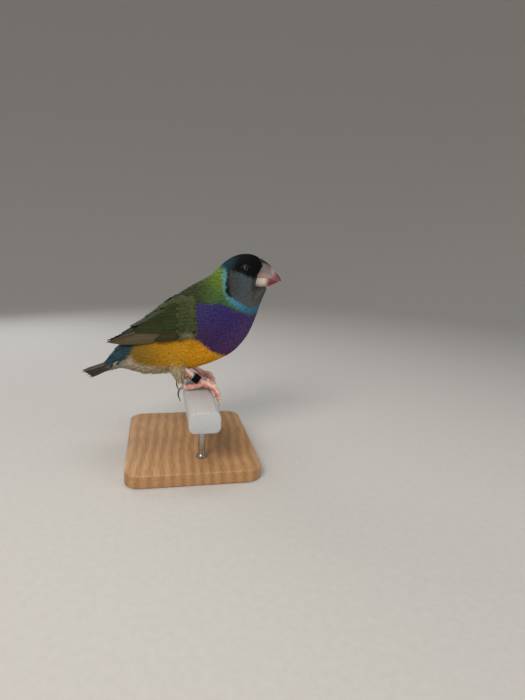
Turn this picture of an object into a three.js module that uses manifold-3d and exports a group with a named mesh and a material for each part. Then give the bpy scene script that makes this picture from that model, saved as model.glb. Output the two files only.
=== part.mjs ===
// A life-size, still model of a perched cock gouldian finch, standing on a short cut length of flat white perch
// that is held up by a plain display stand. Millimetres, +Z up. The bird looks along +X and its left side is +Y.
// The origin is on the underside of the stand, straight below the middle of the top face of the perch.
import * as THREE from "three";
import { mergeVertices } from "three/addons/utils/BufferGeometryUtils.js";
import Module from "manifold-3d";

const wasm = await Module();
wasm.setup();

// Driving dimensions of the mount.
const GAP = 0.3; // kept between neighbouring pieces
const BED = 0.38; // room round a piece that sits in a hollow of its neighbour
const SNAP = 0.001; // corners lie on a grid this fine
const WELDS = [0.05, 0.04, 0.03, 0.02, 0.012, 0.008, 0.005, 0.003, 0.002, 0.0015]; // how close welded corners are, the coarsest that works first
const PERCH = { length: 92, width: 16.4, thick: 11, corner: 3.2, centreY: -4 };
const BASE = { length: 96, width: 72, thick: 7, corner: 9, bevel: 0.8, centreX: -5, centreY: -4 };
const ROD = { radius: 2, spread: 27, height: 20, sides: 24 };
const PERCH_TOP = BASE.thick + ROD.height + PERCH.thick + 2 * GAP;

// The bird is drawn from the middle of the perch's top face, between its feet.
// Cross-sections of the body from the tail's root to the face: the top and the lowest point of each section in
// the plane of symmetry, [x, z], and half its width.
const BODY = [
  { top: [-54.5, 13.5], low: [-53.4, 10.1], half: 2.7 },
  { top: [-50.2, 18.9], low: [-48.6, 11.1], half: 4.3 },
  { top: [-45.8, 24.4], low: [-43.7, 12.2], half: 6.2 },
  { top: [-40.0, 29.8], low: [-37.2, 10.5], half: 8.8 },
  { top: [-33.0, 35.9], low: [-29.5, 9.0], half: 11.7 },
  { top: [-25.5, 41.9], low: [-19.6, 9.2], half: 14.6 },
  { top: [-16.3, 51.2], low: [-8.6, 10.4], half: 17.5 },
  { top: [-6.5, 58.1], low: [2.5, 13.2], half: 19.3 },
  { top: [2.0, 62.9], low: [12.5, 17.0], half: 19.9 },
  { top: [6.3, 65.5], low: [21.0, 21.9], half: 18.9 },
  { top: [10.4, 69.0], low: [28.6, 30.7], half: 16.6 },
  { top: [14.6, 73.2], low: [33.4, 41.0], half: 13.6 },
  { top: [18.8, 76.2], low: [36.0, 49.0], half: 11.5 },
  { top: [23.0, 78.0], low: [37.3, 52.4], half: 10.6 },
  { top: [27.3, 78.6], low: [38.3, 55.0], half: 10.0 },
  { top: [31.0, 78.3], low: [39.3, 57.2], half: 8.9 },
  { top: [34.0, 77.2], low: [40.0, 58.8], half: 7.2 },
  { top: [35.8, 75.8], low: [40.0, 60.4], half: 5.2 },
];
const FACE_CENTRE = [38.3, 67.5];
const BODY_SIDES = 28;
const RINGS_PER_SECTION = 2;

// Thin cuts that part the body, each through a point [x, z] on the back and one on the belly.
const CUTS = {
  tail: { back: [-46.0, 26], belly: [-43.6, 11] },
  rump: { back: [-31.5, 39], belly: [-27.0, 8] },
  torso: { back: [-8.5, 59], belly: [7.0, 12] },
  breast: { back: [6.0, 66.5], belly: [33.0, 37] },
  neck: { back: [14.0, 74], belly: [37.5, 50] },
};

const EYE = { x: 25.6, z: 70.4, y: 7.7, radius: 2.45, lid: 0.42, lidReach: 2.35 };
// The bill's side view: [x, height] along the culmen, the mouth line and the gonys, and [x, half width].
const BILL = {
  culmen: [[30, 74.5], [34, 76.2], [36.2, 76.1], [39.9, 73.6], [43.3, 70.1], [45.9, 67.6], [47.9, 65.4], [48.6, 64.3]],
  mouth: [[30, 65.6], [34.5, 65.5], [38.5, 65.3], [42.6, 64.8], [45.4, 64.0], [47.4, 63.4], [48.6, 63.2]],
  gonys: [[30, 61.6], [33, 60.2], [37, 59.9], [41, 60.3], [44.4, 61.6], [46.8, 62.6]],
  half: [[30, 4.6], [34, 5.3], [37.5, 4.9], [41, 3.9], [44, 2.7], [46.5, 1.5], [48, 0.75], [48.6, 0.4]],
  nostril: { x: 36.6, z: 73.0, y: 3.5, radius: 0.75 },
};

// The folded wing lies on a hull: at each x, a quarter ellipse from the wing's lower edge up to the midline.
const HULL = [
  { x: 2, top: 62.6, low: 35.2, half: 20.3 },
  { x: -7, top: 58.0, low: 32.9, half: 20.1 },
  { x: -15, top: 52.9, low: 31.0, half: 18.8 },
  { x: -20, top: 49.3, low: 30.2, half: 17.4 },
  { x: -26, top: 44.3, low: 29.5, half: 15.3 },
  { x: -33, top: 39.8, low: 28.9, half: 12.6 },
  { x: -39, top: 36.2, low: 28.3, half: 10.3 },
  { x: -45, top: 32.7, low: 27.9, half: 8.1 },
  { x: -49.5, top: 29.9, low: 27.6, half: 6.4 },
  { x: -52.5, top: 28.4, low: 27.3, half: 5.4 },
];
const WING = {
  front: -3.2,
  coreEnd: -44,
  midlineGap: 0.7,
  // [x, height of the upper edge over the lower one, measured along the hull]
  reach: [[-3, 22], [-9, 25.5], [-16, 26.4], [-22, 25.5], [-28, 22], [-33, 17.4], [-39, 12], [-45, 6.6], [-50, 2.4], [-52, 0.6]],
  coreTop: [[-3, 0], [-9, -0.2], [-16, -1.0], [-44, -0.9]], // [x, the core's outer face over the hull]
  coreThick: [[-3, 2.4], [-16, 1.9], [-30, 1.5], [-44, 0.8]],
  vaneThick: 0.55,
};

// Legs: the right one, with the left one mirrored and stepped forward.
const LEG = {
  side: 10.4, // distance of each foot from the plane of symmetry
  heel: [-10.2, 14.2],
  ankle: [2.2, 4.3],
  tarsusRadius: 1.15,
  leftStep: 2.6,
};
const THIGH = { top: [-12.6, 21], middle: [-12.0, 12.5], tip: [-10.6, 5.6], radii: [5.2, 4.2, 1.3], depth: 9.2 };
// Each toe as [x, outward, z] joints from the ankle, measured from the foot's own centre line, and its claw.
const TOES = {
  hind: {
    joints: [[2.9, 0.1, 4.5], [-1.6, -0.3, 2.7], [-5.4, -0.2, 2.0], [-9.0, 0.1, 2.6]],
    claw: [[-8.1, 0.1, 2.7], [-10.9, 0.2, 1.5], [-11.9, 0.2, -1.8], [-10.4, 0.2, -6.4]],
  },
  inner: {
    joints: [[1.7, 0.2, 4.1], [5.4, -2.4, 3.3], [8.4, -4.2, 1.6], [9.9, -4.7, -1.8]],
    claw: [[9.8, -4.7, -1.0], [10.6, -4.8, -3.8], [9.7, -4.8, -6.4]],
  },
  middle: {
    joints: [[1.9, 0.05, 4.35], [5.8, -0.2, 3.6], [9.4, 0, 1.4], [10.8, 0.1, -2.6], [10.9, 0.2, -6.0]],
    claw: [[10.8, 0.2, -5.2], [11.7, 0.2, -8.6], [10.9, 0.2, -11.4]],
  },
  outer: {
    joints: [[1.8, -0.25, 4.15], [5.2, 2.5, 3.4], [8.3, 4.3, 1.7], [10.1, 4.8, -1.9], [10.4, 4.9, -4.0]],
    claw: [[10.3, 4.9, -3.0], [11.1, 4.9, -5.8], [10.3, 4.9, -8.4]],
  },
};
const TOE = { rootRadius: 1.3, tipRadius: 0.95, knuckle: 0.14, clawRoot: 0.7, clawTip: 0.16, sides: 8 };
const RING = { at: 0.66, height: 4, inner: 1.62, outer: 2.2, sides: 20 };

// Tail: the twelve feathers as six pairs, from the central pair on top to the outer pair beneath.
const TAIL = {
  pairs: 6,
  root: { x: -42.5, y: 0.7, z: 18.6 },
  bend: { x: -54, y: 1.1, z: 12.9 },
  tip: { x: -64.6, y: 0.9, z: 10.8 },
  step: { x: 0.85, y: 0.42, z: -0.62 }, // how each pair's tip differs from the one over it
  width: 4.4,
  thick: 0.55,
};

const PALETTE = {
  black: { color: 0x141416, roughness: 0.6 },
  green: { color: 0x5d7a23, roughness: 0.62 },
  olive: { color: 0x4a5526, roughness: 0.62 },
  purple: { color: 0x3c2470, roughness: 0.6 },
  yellow: { color: 0xd6970f, roughness: 0.65 },
  teal: { color: 0x2f6f80, roughness: 0.6 },
  tail: { color: 0x1e1d1f, roughness: 0.55 },
  fluff: { color: 0xcabfa8, roughness: 0.8 },
  bill: { color: 0xe2c4b8, roughness: 0.35 },
  eye: { color: 0x070606, roughness: 0.08 },
  leg: { color: 0xd98f84, roughness: 0.5 },
  claw: { color: 0xb9a48a, roughness: 0.4 },
  ring: { color: 0x1a1b1d, roughness: 0.3, metalness: 0.6 },
  perch: { color: 0xe7e8ea, roughness: 0.35 },
  wood: { color: 0xb08a5e, roughness: 0.55 },
  steel: { color: 0xa9adb0, roughness: 0.3, metalness: 1 },
};

// Value of a table of [x, value] rows at x, on a smooth curve through its points.
function along(rows, x) {
  const rising = rows[0][0] < rows[rows.length - 1][0];
  const list = rising ? rows : [...rows].reverse();
  const last = list.length - 1;
  if (x <= list[0][0]) return list[0][1];
  if (x >= list[last][0]) return list[last][1];
  let i = 0;
  while (x > list[i + 1][0]) i += 1;
  const slope = (k) => {
    const a = Math.max(k - 1, 0);
    const b = Math.min(k + 1, last);
    return (list[b][1] - list[a][1]) / (list[b][0] - list[a][0]);
  };
  const span = list[i + 1][0] - list[i][0];
  const u = (x - list[i][0]) / span;
  const bump = u * (1 - u) * span;
  return (
    list[i][1] * (1 - u) * (1 - u) * (1 + 2 * u) +
    list[i + 1][1] * u * u * (3 - 2 * u) +
    bump * ((1 - u) * slope(i) - u * slope(i + 1))
  );
}

// A Catmull-Rom blend of four numbers at u between the middle two.
function blend(a, b, c, d, u) {
  return 0.5 * (2 * b + (c - a) * u + (2 * a - 5 * b + 4 * c - d) * u * u + (3 * b - a - 3 * c + d) * u * u * u);
}

// A field of the body's sections at the fractional section t.
function section(t, pick) {
  const last = BODY.length - 1;
  const i = Math.min(Math.max(Math.floor(t), 0), last - 1);
  const at = (k) => pick(BODY[Math.min(Math.max(k, 0), last)]);
  return blend(at(i - 1), at(i), at(i + 1), at(i + 2), t - i);
}

// A point of the body's surface: t counts sections and angle runs from the back, over the left side, to the belly.
function bodyPoint(t, angle) {
  const top = [section(t, (s) => s.top[0]), section(t, (s) => s.top[1])];
  const low = [section(t, (s) => s.low[0]), section(t, (s) => s.low[1])];
  const half = section(t, (s) => s.half);
  const up = (1 + Math.cos(angle)) / 2;
  return new THREE.Vector3(
    low[0] + (top[0] - low[0]) * up,
    half * Math.sin(angle),
    low[1] + (top[1] - low[1]) * up,
  );
}

// Position, outward normal and tailward direction on the body's surface.
function bodyFrame(t, angle) {
  const step = 0.02;
  const p = bodyPoint(t, angle);
  const back = bodyPoint(t - step, angle).sub(bodyPoint(t + step, angle)).normalize();
  const round = bodyPoint(t, angle + step).sub(bodyPoint(t, angle - step)).normalize();
  const normal = new THREE.Vector3().crossVectors(back, round).normalize();
  const centre = bodyPoint(t, 0).add(bodyPoint(t, Math.PI)).multiplyScalar(0.5);
  if (normal.dot(p.clone().sub(centre)) < 0) normal.negate();
  return { p, normal, back, round };
}

// Repeatable small differences between like feathers, from -1 to 1.
const random = ((seed) => {
  let state = seed;
  return () => {
    state = (Math.imul(state, 1664525) + 1013904223) >>> 0;
    return (state / 4294967296) * 2 - 1;
  };
})(20413);

// The closed skin over rings of equal length, given as arrays of Vector3, with a point or a fan on each end.
// Faces in the second half of each ring take the other diagonal, so that thin pieces match on both sides.
function skinOver(rings, startPoint, endPoint) {
  const count = rings[0].length;
  const middle = (ring) => ring.reduce((sum, p) => sum.add(p), new THREE.Vector3()).divideScalar(count);
  const points = [...rings.flat(), startPoint ?? middle(rings[0]), endPoint ?? middle(rings[rings.length - 1])];
  const start = rings.length * count;
  const end = start + 1;
  const index = [];
  for (let i = 0; i < rings.length - 1; i++) {
    for (let j = 0; j < count; j++) {
      const k = (j + 1) % count;
      const [a, b, c, d] = [i * count + j, i * count + k, (i + 1) * count + k, (i + 1) * count + j];
      if (j < count / 2) index.push(a, b, c, a, c, d);
      else index.push(a, b, d, b, c, d);
    }
  }
  for (let j = 0; j < count; j++) {
    const k = (j + 1) % count;
    index.push(start, k, j);
    index.push(end, (rings.length - 1) * count + j, (rings.length - 1) * count + k);
  }
  const geometry = new THREE.BufferGeometry().setFromPoints(points);
  geometry.setIndex(index);
  return geometry;
}

// A three.js geometry as a solid, turned right way out.
function solid(geometry) {
  const bare = geometry.index ? geometry.clone() : geometry;
  for (const name of Object.keys(bare.attributes)) if (name !== "position") bare.deleteAttribute(name);
  const merged = mergeVertices(bare, 1e-4);
  const triVerts = new Uint32Array(merged.index.array);
  const vertProperties = new Float32Array(merged.attributes.position.array);
  const made = new wasm.Manifold(new wasm.Mesh({ numProp: 3, vertProperties, triVerts }));
  if (made.volume() > 0) return made;
  for (let i = 0; i < triVerts.length; i += 3) [triVerts[i + 1], triVerts[i + 2]] = [triVerts[i + 2], triVerts[i + 1]];
  return new wasm.Manifold(new wasm.Mesh({ numProp: 3, vertProperties, triVerts }));
}

const union = (solids) => solids.reduce((a, b) => a.add(b));
const cut = (from, ...tools) => tools.reduce((a, b) => a.subtract(b), from);

// The largest closed body of a solid.
function largest(made) {
  return made.decompose().sort((a, b) => b.volume() - a.volume())[0];
}

// A solid's triangles as a three.js geometry.
function geometryOf(made) {
  const { vertProperties, triVerts, numProp } = made.getMesh();
  const count = vertProperties.length / numProp;
  const position = new Float32Array(count * 3);
  for (let i = 0; i < count; i++) position.set(vertProperties.subarray(i * numProp, i * numProp + 3), i * 3);
  const geometry = new THREE.BufferGeometry().setAttribute("position", new THREE.BufferAttribute(position, 3));
  geometry.setIndex(new THREE.BufferAttribute(new Uint32Array(triVerts), 1));
  geometry.computeVertexNormals();
  return geometry;
}

// A geometry with corners closer than the tolerance welded, whichever side of the welding grid's lines they lie on.
function weldedOnce(geometry, tolerance) {
  const half = tolerance / 2;
  const first = mergeVertices(geometry, tolerance).translate(half, half, half);
  return mergeVertices(first, tolerance).translate(-half, -half, -half);
}

// Whether each edge of a triangle list is on exactly two triangles.
function edgesPaired(triangles) {
  const uses = new Map();
  for (let i = 0; i < triangles.length; i += 3) {
    for (let j = 0; j < 3; j++) {
      const [a, b] = [triangles[i + j], triangles[i + ((j + 1) % 3)]];
      const key = a < b ? `${a}_${b}` : `${b}_${a}`;
      uses.set(key, (uses.get(key) ?? 0) + 1);
    }
  }
  return [...uses.values()].every((count) => count === 2);
}

// A solid with nearly coincident corners welded, so that the slivers left by joining go, where it stays closed.
function welded(made) {
  for (const tolerance of WELDS) {
    const bare = geometryOf(made);
    bare.deleteAttribute("normal");
    const snapped = weldedOnce(bare, tolerance);
    const position = snapped.attributes.position;
    for (let i = 0; i < position.array.length; i++) position.array[i] = Math.round(position.array[i] / SNAP) * SNAP;
    const merged = mergeVertices(snapped, SNAP / 4);
    const corners = merged.index.array;
    const kept = [];
    for (let i = 0; i < corners.length; i += 3) {
      const [a, b, c] = corners.subarray(i, i + 3);
      if (a !== b && b !== c && c !== a) kept.push(a, b, c);
    }
    if (!edgesPaired(kept)) continue;
    const mesh = { numProp: 3, vertProperties: merged.attributes.position.array, triVerts: new Uint32Array(kept) };
    try {
      const result = largest(new wasm.Manifold(new wasm.Mesh(mesh)));
      if (Math.abs(result.volume() / made.volume() - 1) < 0.01) return result;
    } catch {
      continue;
    }
  }
  throw new Error("a joined piece doesn't stay closed when its corners are welded");
}

const finish = (name) => new THREE.MeshStandardMaterial({ name, metalness: 0, ...PALETTE[name] });

function meshOf(name, made, material) {
  const mesh = new THREE.Mesh(geometryOf(welded(largest(made))), finish(material));
  mesh.name = name;
  return mesh;
}

// The other side's solid, mirrored in the plane of symmetry.
const mirrored = (made) => made.mirror([0, 1, 0]);

// A round bar through points with a radius at each, as rings of the given number of sides, grown by an extra.
function limb(points, radiusAt, { sides = TOE.sides, steps = 10, from = 0, to = 1, flat = 1, extra = 0 } = {}) {
  const curve = new THREE.CatmullRomCurve3(points.map((p) => new THREE.Vector3(...p)), false, "centripetal");
  const rings = [];
  for (let i = 0; i <= steps; i++) {
    const u = from + ((to - from) * i) / steps;
    const p = curve.getPointAt(u);
    const ahead = curve.getTangentAt(u);
    const side = new THREE.Vector3().crossVectors(new THREE.Vector3(0, 1, 0), ahead).normalize();
    const across = new THREE.Vector3().crossVectors(ahead, side).normalize();
    const r = radiusAt(u);
    if (i === 0) p.addScaledVector(ahead, -extra);
    if (i === steps) p.addScaledVector(ahead, extra);
    const ring = [];
    for (let j = 0; j < sides; j++) {
      const a = (2 * Math.PI * j) / sides;
      const [tall, wide] = [(r * flat + extra) * Math.cos(a), (r + extra) * Math.sin(a)];
      ring.push(p.clone().addScaledVector(side, tall).addScaledVector(across, wide));
    }
    rings.push(ring);
  }
  return solid(skinOver(rings));
}

// A feather's half width along its length, from a narrow root to a rounded or pointed tip.
function vaneOutline(s, pointed) {
  const root = Math.min(1, 0.45 + s * 2.4);
  const start = pointed ? 0.45 : 0.68;
  if (s <= start) return root;
  const u = (s - start) / (1 - start);
  return root * (pointed ? Math.pow(1 - u, 0.8) : Math.sqrt(Math.max(0, 1 - u * u)));
}

// One flat feather as a closed thin plate. placeAt(s, across, lift) gives a point of its upper face.
function vane(placeAt, { width, thick, tilt = 0, lift, pointed = false, steps = 4 }) {
  const rings = [];
  for (let i = 0; i <= steps; i++) {
    const s = Math.sin(((i / steps) * Math.PI) / 2);
    const half = Math.max((width / 2) * vaneOutline(s, pointed), 0.16);
    const height = lift(s);
    const thin = thick * (s < 1 ? 1 : 0.6);
    rings.push([
      placeAt(s, -half, height),
      placeAt(s, half, height - tilt),
      placeAt(s, half, height - tilt - thin),
      placeAt(s, -half, height - thin),
    ]);
  }
  return solid(skinOver(rings));
}

const hullAt = (x, field) => along(HULL.map((h) => [h.x, h[field]]), x);
const ARC_STEPS = 24;

// A point of the right wing's hull at x, at q millimetres along the section from the lower edge.
function hullPoint(x, q) {
  const half = hullAt(x, "half");
  const low = hullAt(x, "low");
  const tall = hullAt(x, "top") - low;
  if (q <= 0) return new THREE.Vector3(x, -half, low + q);
  let walked = 0;
  let [y0, z0] = [half, 0];
  for (let i = 1; i <= ARC_STEPS * 1.5; i++) {
    const a = (i / ARC_STEPS) * (Math.PI / 2);
    const [y1, z1] = [half * Math.cos(a), tall * Math.sin(a)];
    const piece = Math.hypot(y1 - y0, z1 - z0);
    if (walked + piece >= q) {
      const u = (q - walked) / piece;
      return new THREE.Vector3(x, -(y0 + (y1 - y0) * u), low + z0 + (z1 - z0) * u);
    }
    walked += piece;
    [y0, z0] = [y1, z1];
  }
  return new THREE.Vector3(x, -y0, low + z0);
}

function hullLength(x) {
  const half = hullAt(x, "half");
  const tall = hullAt(x, "top") - hullAt(x, "low");
  let total = 0;
  for (let i = 0; i < ARC_STEPS; i++) {
    const [a, b] = [(i / ARC_STEPS) * (Math.PI / 2), ((i + 1) / ARC_STEPS) * (Math.PI / 2)];
    total += Math.hypot(half * (Math.cos(b) - Math.cos(a)), tall * (Math.sin(b) - Math.sin(a)));
  }
  return total;
}

// A point at a height over the right wing's hull.
function overHull(x, q, height) {
  const step = 0.4;
  const p = hullPoint(x, q);
  const forward = hullPoint(x + step, q).sub(hullPoint(x - step, q));
  const up = hullPoint(x, q + step).sub(hullPoint(x, Math.max(q, 0) - step));
  const normal = new THREE.Vector3().crossVectors(forward, up).normalize();
  if (normal.y > 0 && normal.z < 0.2) normal.negate();
  if (normal.z < -0.2) normal.negate();
  return p.addScaledVector(normal, height);
}

const wingReach = (x) => Math.min(along(WING.reach, x), hullLength(x) - WING.midlineGap);

// A slab that follows the wing's hull between two heights, from front to end.
function wingSlab({ front, end, outer, inner, grow, rows = 7, stations = 11 }) {
  const rings = [];
  for (let i = 0; i <= stations; i++) {
    const x = front + ((end - front) * i) / stations;
    const [from, to] = [-grow, wingReach(x) + grow];
    const face = (height) =>
      Array.from({ length: rows + 1 }, (_, j) => overHull(x, from + ((to - from) * j) / rows, height(x)));
    const top = face(outer);
    const under = face(inner);
    rings.push([...top, ...under.reverse()]);
  }
  return solid(skinOver(rings));
}

// One feather of the right wing from root to tip, both as [x, q].
function wingVane({ root, tip, width, bow = 0, lift, tilt, pointed = false, steps = 4 }) {
  const stray = 0.18 * random();
  const direction = new THREE.Vector2(tip[0] - root[0], tip[1] - root[1]).normalize();
  const across = new THREE.Vector2(direction.y, -direction.x);
  if (across.y < 0) across.negate();
  const placeAt = (s, side, height) => {
    const bowed = bow * Math.sin(Math.PI * s) + side;
    const x = root[0] + (tip[0] - root[0]) * s + across.x * bowed + direction.x * stray * s;
    const q = root[1] + (tip[1] - root[1]) * s + across.y * bowed + 0.3 * stray * s;
    return overHull(x, q, height);
  };
  return vane(placeAt, { width, thick: WING.vaneThick, tilt, lift, pointed, steps });
}

// The right wing: primaries, secondaries and tertials under greater, primary and median coverts.
function wing() {
  const slope = (from, to) => (s) => from + (to - from) * Math.min(1, s * 1.6);
  const coreTop = (x) => along(WING.coreTop, x);
  const pieces = [
    wingSlab({
      front: WING.front,
      end: WING.coreEnd,
      outer: coreTop,
      inner: (x) => coreTop(x) - along(WING.coreThick, x),
      grow: -0.5,
    }),
  ];
  const primaryTips = [-51.8, -50.6, -48.0, -44.8, -41.6, -38.4];
  primaryTips.forEach((x, i) => {
    pieces.push(
      wingVane({
        root: [-24 + i * 0.6, 1.9 + i * 1.1],
        tip: [x, 0.75 + i * 1.0],
        width: 3.4 + 0.12 * i,
        lift: slope(-1.0, -0.25),
        tilt: 0.6,
        pointed: true,
      }),
    );
  });
  const secondaries = 5;
  for (let i = 0; i < secondaries; i++) {
    pieces.push(
      wingVane({
        root: [-15.5, 6.6 + i * 2.3],
        tip: [-36.2 + i * 0.7, 7.6 + i * 1.35],
        width: 4.4,
        lift: slope(-1.0, -0.2),
        tilt: 0.6,
      }),
    );
  }
  const tertials = [[-38.6, 13.2, 5.4], [-35.4, 15.6, 5.8], [-31.2, 18.4, 6.2]];
  tertials.forEach(([x, q, width], i) => {
    pieces.push(
      wingVane({ root: [-15 + i * 0.8, 17.2 + i * 2.2], tip: [x, q], width, bow: 0.8, lift: slope(-0.9, -0.05), tilt: 0.5 }),
    );
  });
  for (let i = 0; i < 4; i++) {
    pieces.push(
      wingVane({
        root: [-7.5 - i * 0.5, 1.5 + i * 1.5],
        tip: [-25.2 + i * 1.8, 1.6 + i * 1.45],
        width: 2.9,
        lift: slope(-0.9, 0.05),
        tilt: 0.4,
        pointed: true,
      }),
    );
  }
  const greater = 6;
  for (let i = 0; i < greater; i++) {
    pieces.push(
      wingVane({
        root: [-8.6 + 0.3 * i, 6.6 + i * 3.2],
        tip: [-20.4 - Math.sin((i / (greater - 1)) * Math.PI) * 1.2 + 0.42 * i, 7.2 + i * 3.05],
        width: 4.9,
        lift: slope(-0.7, 0.3),
        tilt: 0.35,
      }),
    );
  }
  const median = 5;
  for (let i = 0; i < median; i++) {
    pieces.push(
      wingVane({
        root: [-4.6, 5.6 + i * 3.8],
        tip: [-12.2 + 0.2 * i, 5.6 + i * 3.8],
        width: 5.2,
        lift: slope(-0.6, 0.45),
        tilt: 0.25,
        steps: 3,
      }),
    );
  }
  const farSide = new THREE.BoxGeometry(90, 30, 60).translate(-30, 15 - WING.midlineGap / 2, 40);
  return cut(union(pieces), solid(farSide));
}

// What the wing takes out of the body, so that it beds in the flank with a gap all round.
function wingBed() {
  const deepest = (x) => along(WING.coreTop, x) - along(WING.coreThick, x) - BED;
  return wingSlab({ front: WING.front + 1.7, end: -53.5, outer: () => 3, inner: deepest, grow: 1.4 });
}

// The whole body as one solid, before it is cut.
function wholeBody() {
  const rings = [];
  const last = (BODY.length - 1) * RINGS_PER_SECTION;
  for (let i = 0; i <= last; i++) {
    const t = i / RINGS_PER_SECTION;
    rings.push(Array.from({ length: BODY_SIDES }, (_, j) => bodyPoint(t, (2 * Math.PI * j) / BODY_SIDES)));
  }
  return solid(skinOver(rings, undefined, new THREE.Vector3(FACE_CENTRE[0], 0, FACE_CENTRE[1])));
}

// A plate across the body through a point on the back and one on the belly, one gap thick or more towards the head.
function cutPlate({ back, belly }, ahead = GAP / 2) {
  const reach = 70;
  const plate = new THREE.BoxGeometry(reach, reach, GAP / 2 + ahead);
  plate.translate(0, 0, (ahead - GAP / 2) / 2);
  plate.rotateY(Math.atan2(back[1] - belly[1], belly[0] - back[0]));
  plate.translate((back[0] + belly[0]) / 2, 0, (back[1] + belly[1]) / 2);
  return solid(plate);
}

// The bill between two lines of its side view, over or under the mouth line, grown outward by an extra.
function billHalf(upper, extra = 0) {
  const line = upper ? BILL.culmen : BILL.gonys;
  const end = upper ? 48.6 : 46.8;
  const stations = 10;
  const points = 7;
  const rings = [];
  for (let i = 0; i <= stations; i++) {
    const x = 30.2 + ((end - 30.2) * i) / stations;
    const shift = i === stations ? extra : i === 0 ? -extra : 0;
    const half = Math.max(along(BILL.half, x) + extra, 0.3) * (upper ? 1 : 0.94);
    const mouth = along(BILL.mouth, x) + (upper ? GAP / 2 - extra : extra - GAP / 2);
    const edge = upper ? Math.max(along(line, x) + extra, mouth + 0.35) : Math.min(along(line, x) - extra, mouth - 0.35);
    const ring = [];
    for (let j = 0; j <= points; j++) {
      const a = (Math.PI * j) / points;
      const squared = upper ? Math.pow(Math.sin(a), 0.86) : Math.pow(Math.sin(a), 0.7);
      ring.push(new THREE.Vector3(x + shift, half * Math.cos(a), mouth + (edge - mouth) * squared));
    }
    rings.push(ring);
  }
  return solid(skinOver(rings));
}

function ball(x, y, z, radius, detail = 20) {
  return solid(new THREE.SphereGeometry(radius, detail, detail - 6).rotateX(0.3).rotateZ(0.2).translate(x, y, z));
}

function bill() {
  const { x, y, z, radius } = BILL.nostril;
  const pits = [y, -y].map((side) => ball(x, side, z, radius, 14));
  return { upper: cut(billHalf(true), ...pits), lower: billHalf(false) };
}

// The room that the bill takes up in the face.
const billBed = () => union([billHalf(true, BED), billHalf(false, BED)]);

// The raised lids round the left eye.
function lids() {
  const ring = new THREE.TorusGeometry(EYE.lidReach, EYE.lid, 5, 18);
  ring.rotateX(Math.PI / 2);
  ring.translate(EYE.x, EYE.y + 1.42, EYE.z);
  return solid(ring);
}

// Places a foot's point on its side. The step moves the ankle and leaves the ends of the toes at the perch's edges.
const footPoint = (side, step) => ([x, out, z]) => {
  const share = Math.max(0, 1 - Math.pow((x - LEG.ankle[0]) / 7.5, 2));
  return [x + step * share, side * (LEG.side + out), z];
};

function clawSolid(path, place, extra = 0) {
  const radius = (u) => TOE.clawRoot + (TOE.clawTip - TOE.clawRoot) * Math.pow(u, 0.8);
  return limb(path.map(place), radius, { sides: 6, steps: 5, flat: 1.25, extra });
}

// Four toes joined at the ankle, each swelling at its joints and open at the tip for its claw.
function foot(place) {
  const toes = Object.values(TOES).map(({ joints }) => {
    const bones = joints.length - 1;
    const swell = (u) => 1 + TOE.knuckle * Math.cos(2 * Math.PI * u * bones);
    const radius = (u) => (TOE.rootRadius + (TOE.tipRadius - TOE.rootRadius) * u) * swell(u);
    return limb(joints.map(place), radius, { steps: 2 * bones, sides: 6 });
  });
  return cut(union(toes), ...Object.values(TOES).map(({ claw }) => clawSolid(claw, place, BED)));
}

// The bare leg from the heel down to just over the ankle.
function tarsus(side, step, extra = 0) {
  const y = side * (LEG.side - 0.4);
  const heel = [LEG.heel[0] + step, y, LEG.heel[1]];
  const end = [LEG.ankle[0] + step, side * LEG.side, LEG.ankle[1]];
  const radius = (u) => LEG.tarsusRadius * (1 + 0.35 * Math.exp(-Math.pow(u / 0.16, 2)));
  return limb([heel, end], radius, { sides: 10, steps: 6, to: extra ? 1 : 0.86, extra });
}

// The tapering, feathered thigh that hangs behind the leg.
function thigh(side, step, extra = 0) {
  const path = [THIGH.top, THIGH.middle, THIGH.tip].map(([x, z]) => [x + step * 0.6, side * THIGH.depth, z]);
  const rows = THIGH.radii.map((r, i) => [i / (THIGH.radii.length - 1), r]);
  return limb(path, (u) => along(rows, u), { sides: 12, steps: 8, extra });
}

// One leg and what is on it, as named solids with their finishes.
function legParts(name, side, step) {
  const place = footPoint(side, step);
  const toes = foot(place);
  const bare = tarsus(side, step);
  const bed = tarsus(side, step, BED);
  const parts = [
    [`thigh_${name}`, cut(thigh(side, step), bed), "fluff"],
    [`tarsus_${name}`, bare, "leg"],
    [`foot_${name}`, cut(toes, ankleCut(side, step)), "leg"],
  ];
  Object.entries(TOES).forEach(([toe, { claw }]) => {
    parts.push([`claw_${name}_${toe}`, clawSolid(claw, place), "claw"]);
  });
  return parts;
}

// What parts the toes from the bare leg over them: the leg's own bar, a gap wider.
const ankleCut = (side, step) => {
  const y = side * LEG.side;
  const [dx, dz] = [LEG.heel[0] - LEG.ankle[0], LEG.heel[1] - LEG.ankle[1]];
  const long = Math.hypot(dx, dz);
  const reach = 0.14 * long - GAP;
  const start = [LEG.ankle[0] + step + (dx / long) * reach, y, LEG.ankle[1] + (dz / long) * reach];
  const end = [start[0] + dx, y + side * 0.4, start[2] + dz];
  return limb([start, end], () => LEG.tarsusRadius + 1.2, { sides: 12, steps: 2 });
};

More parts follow.
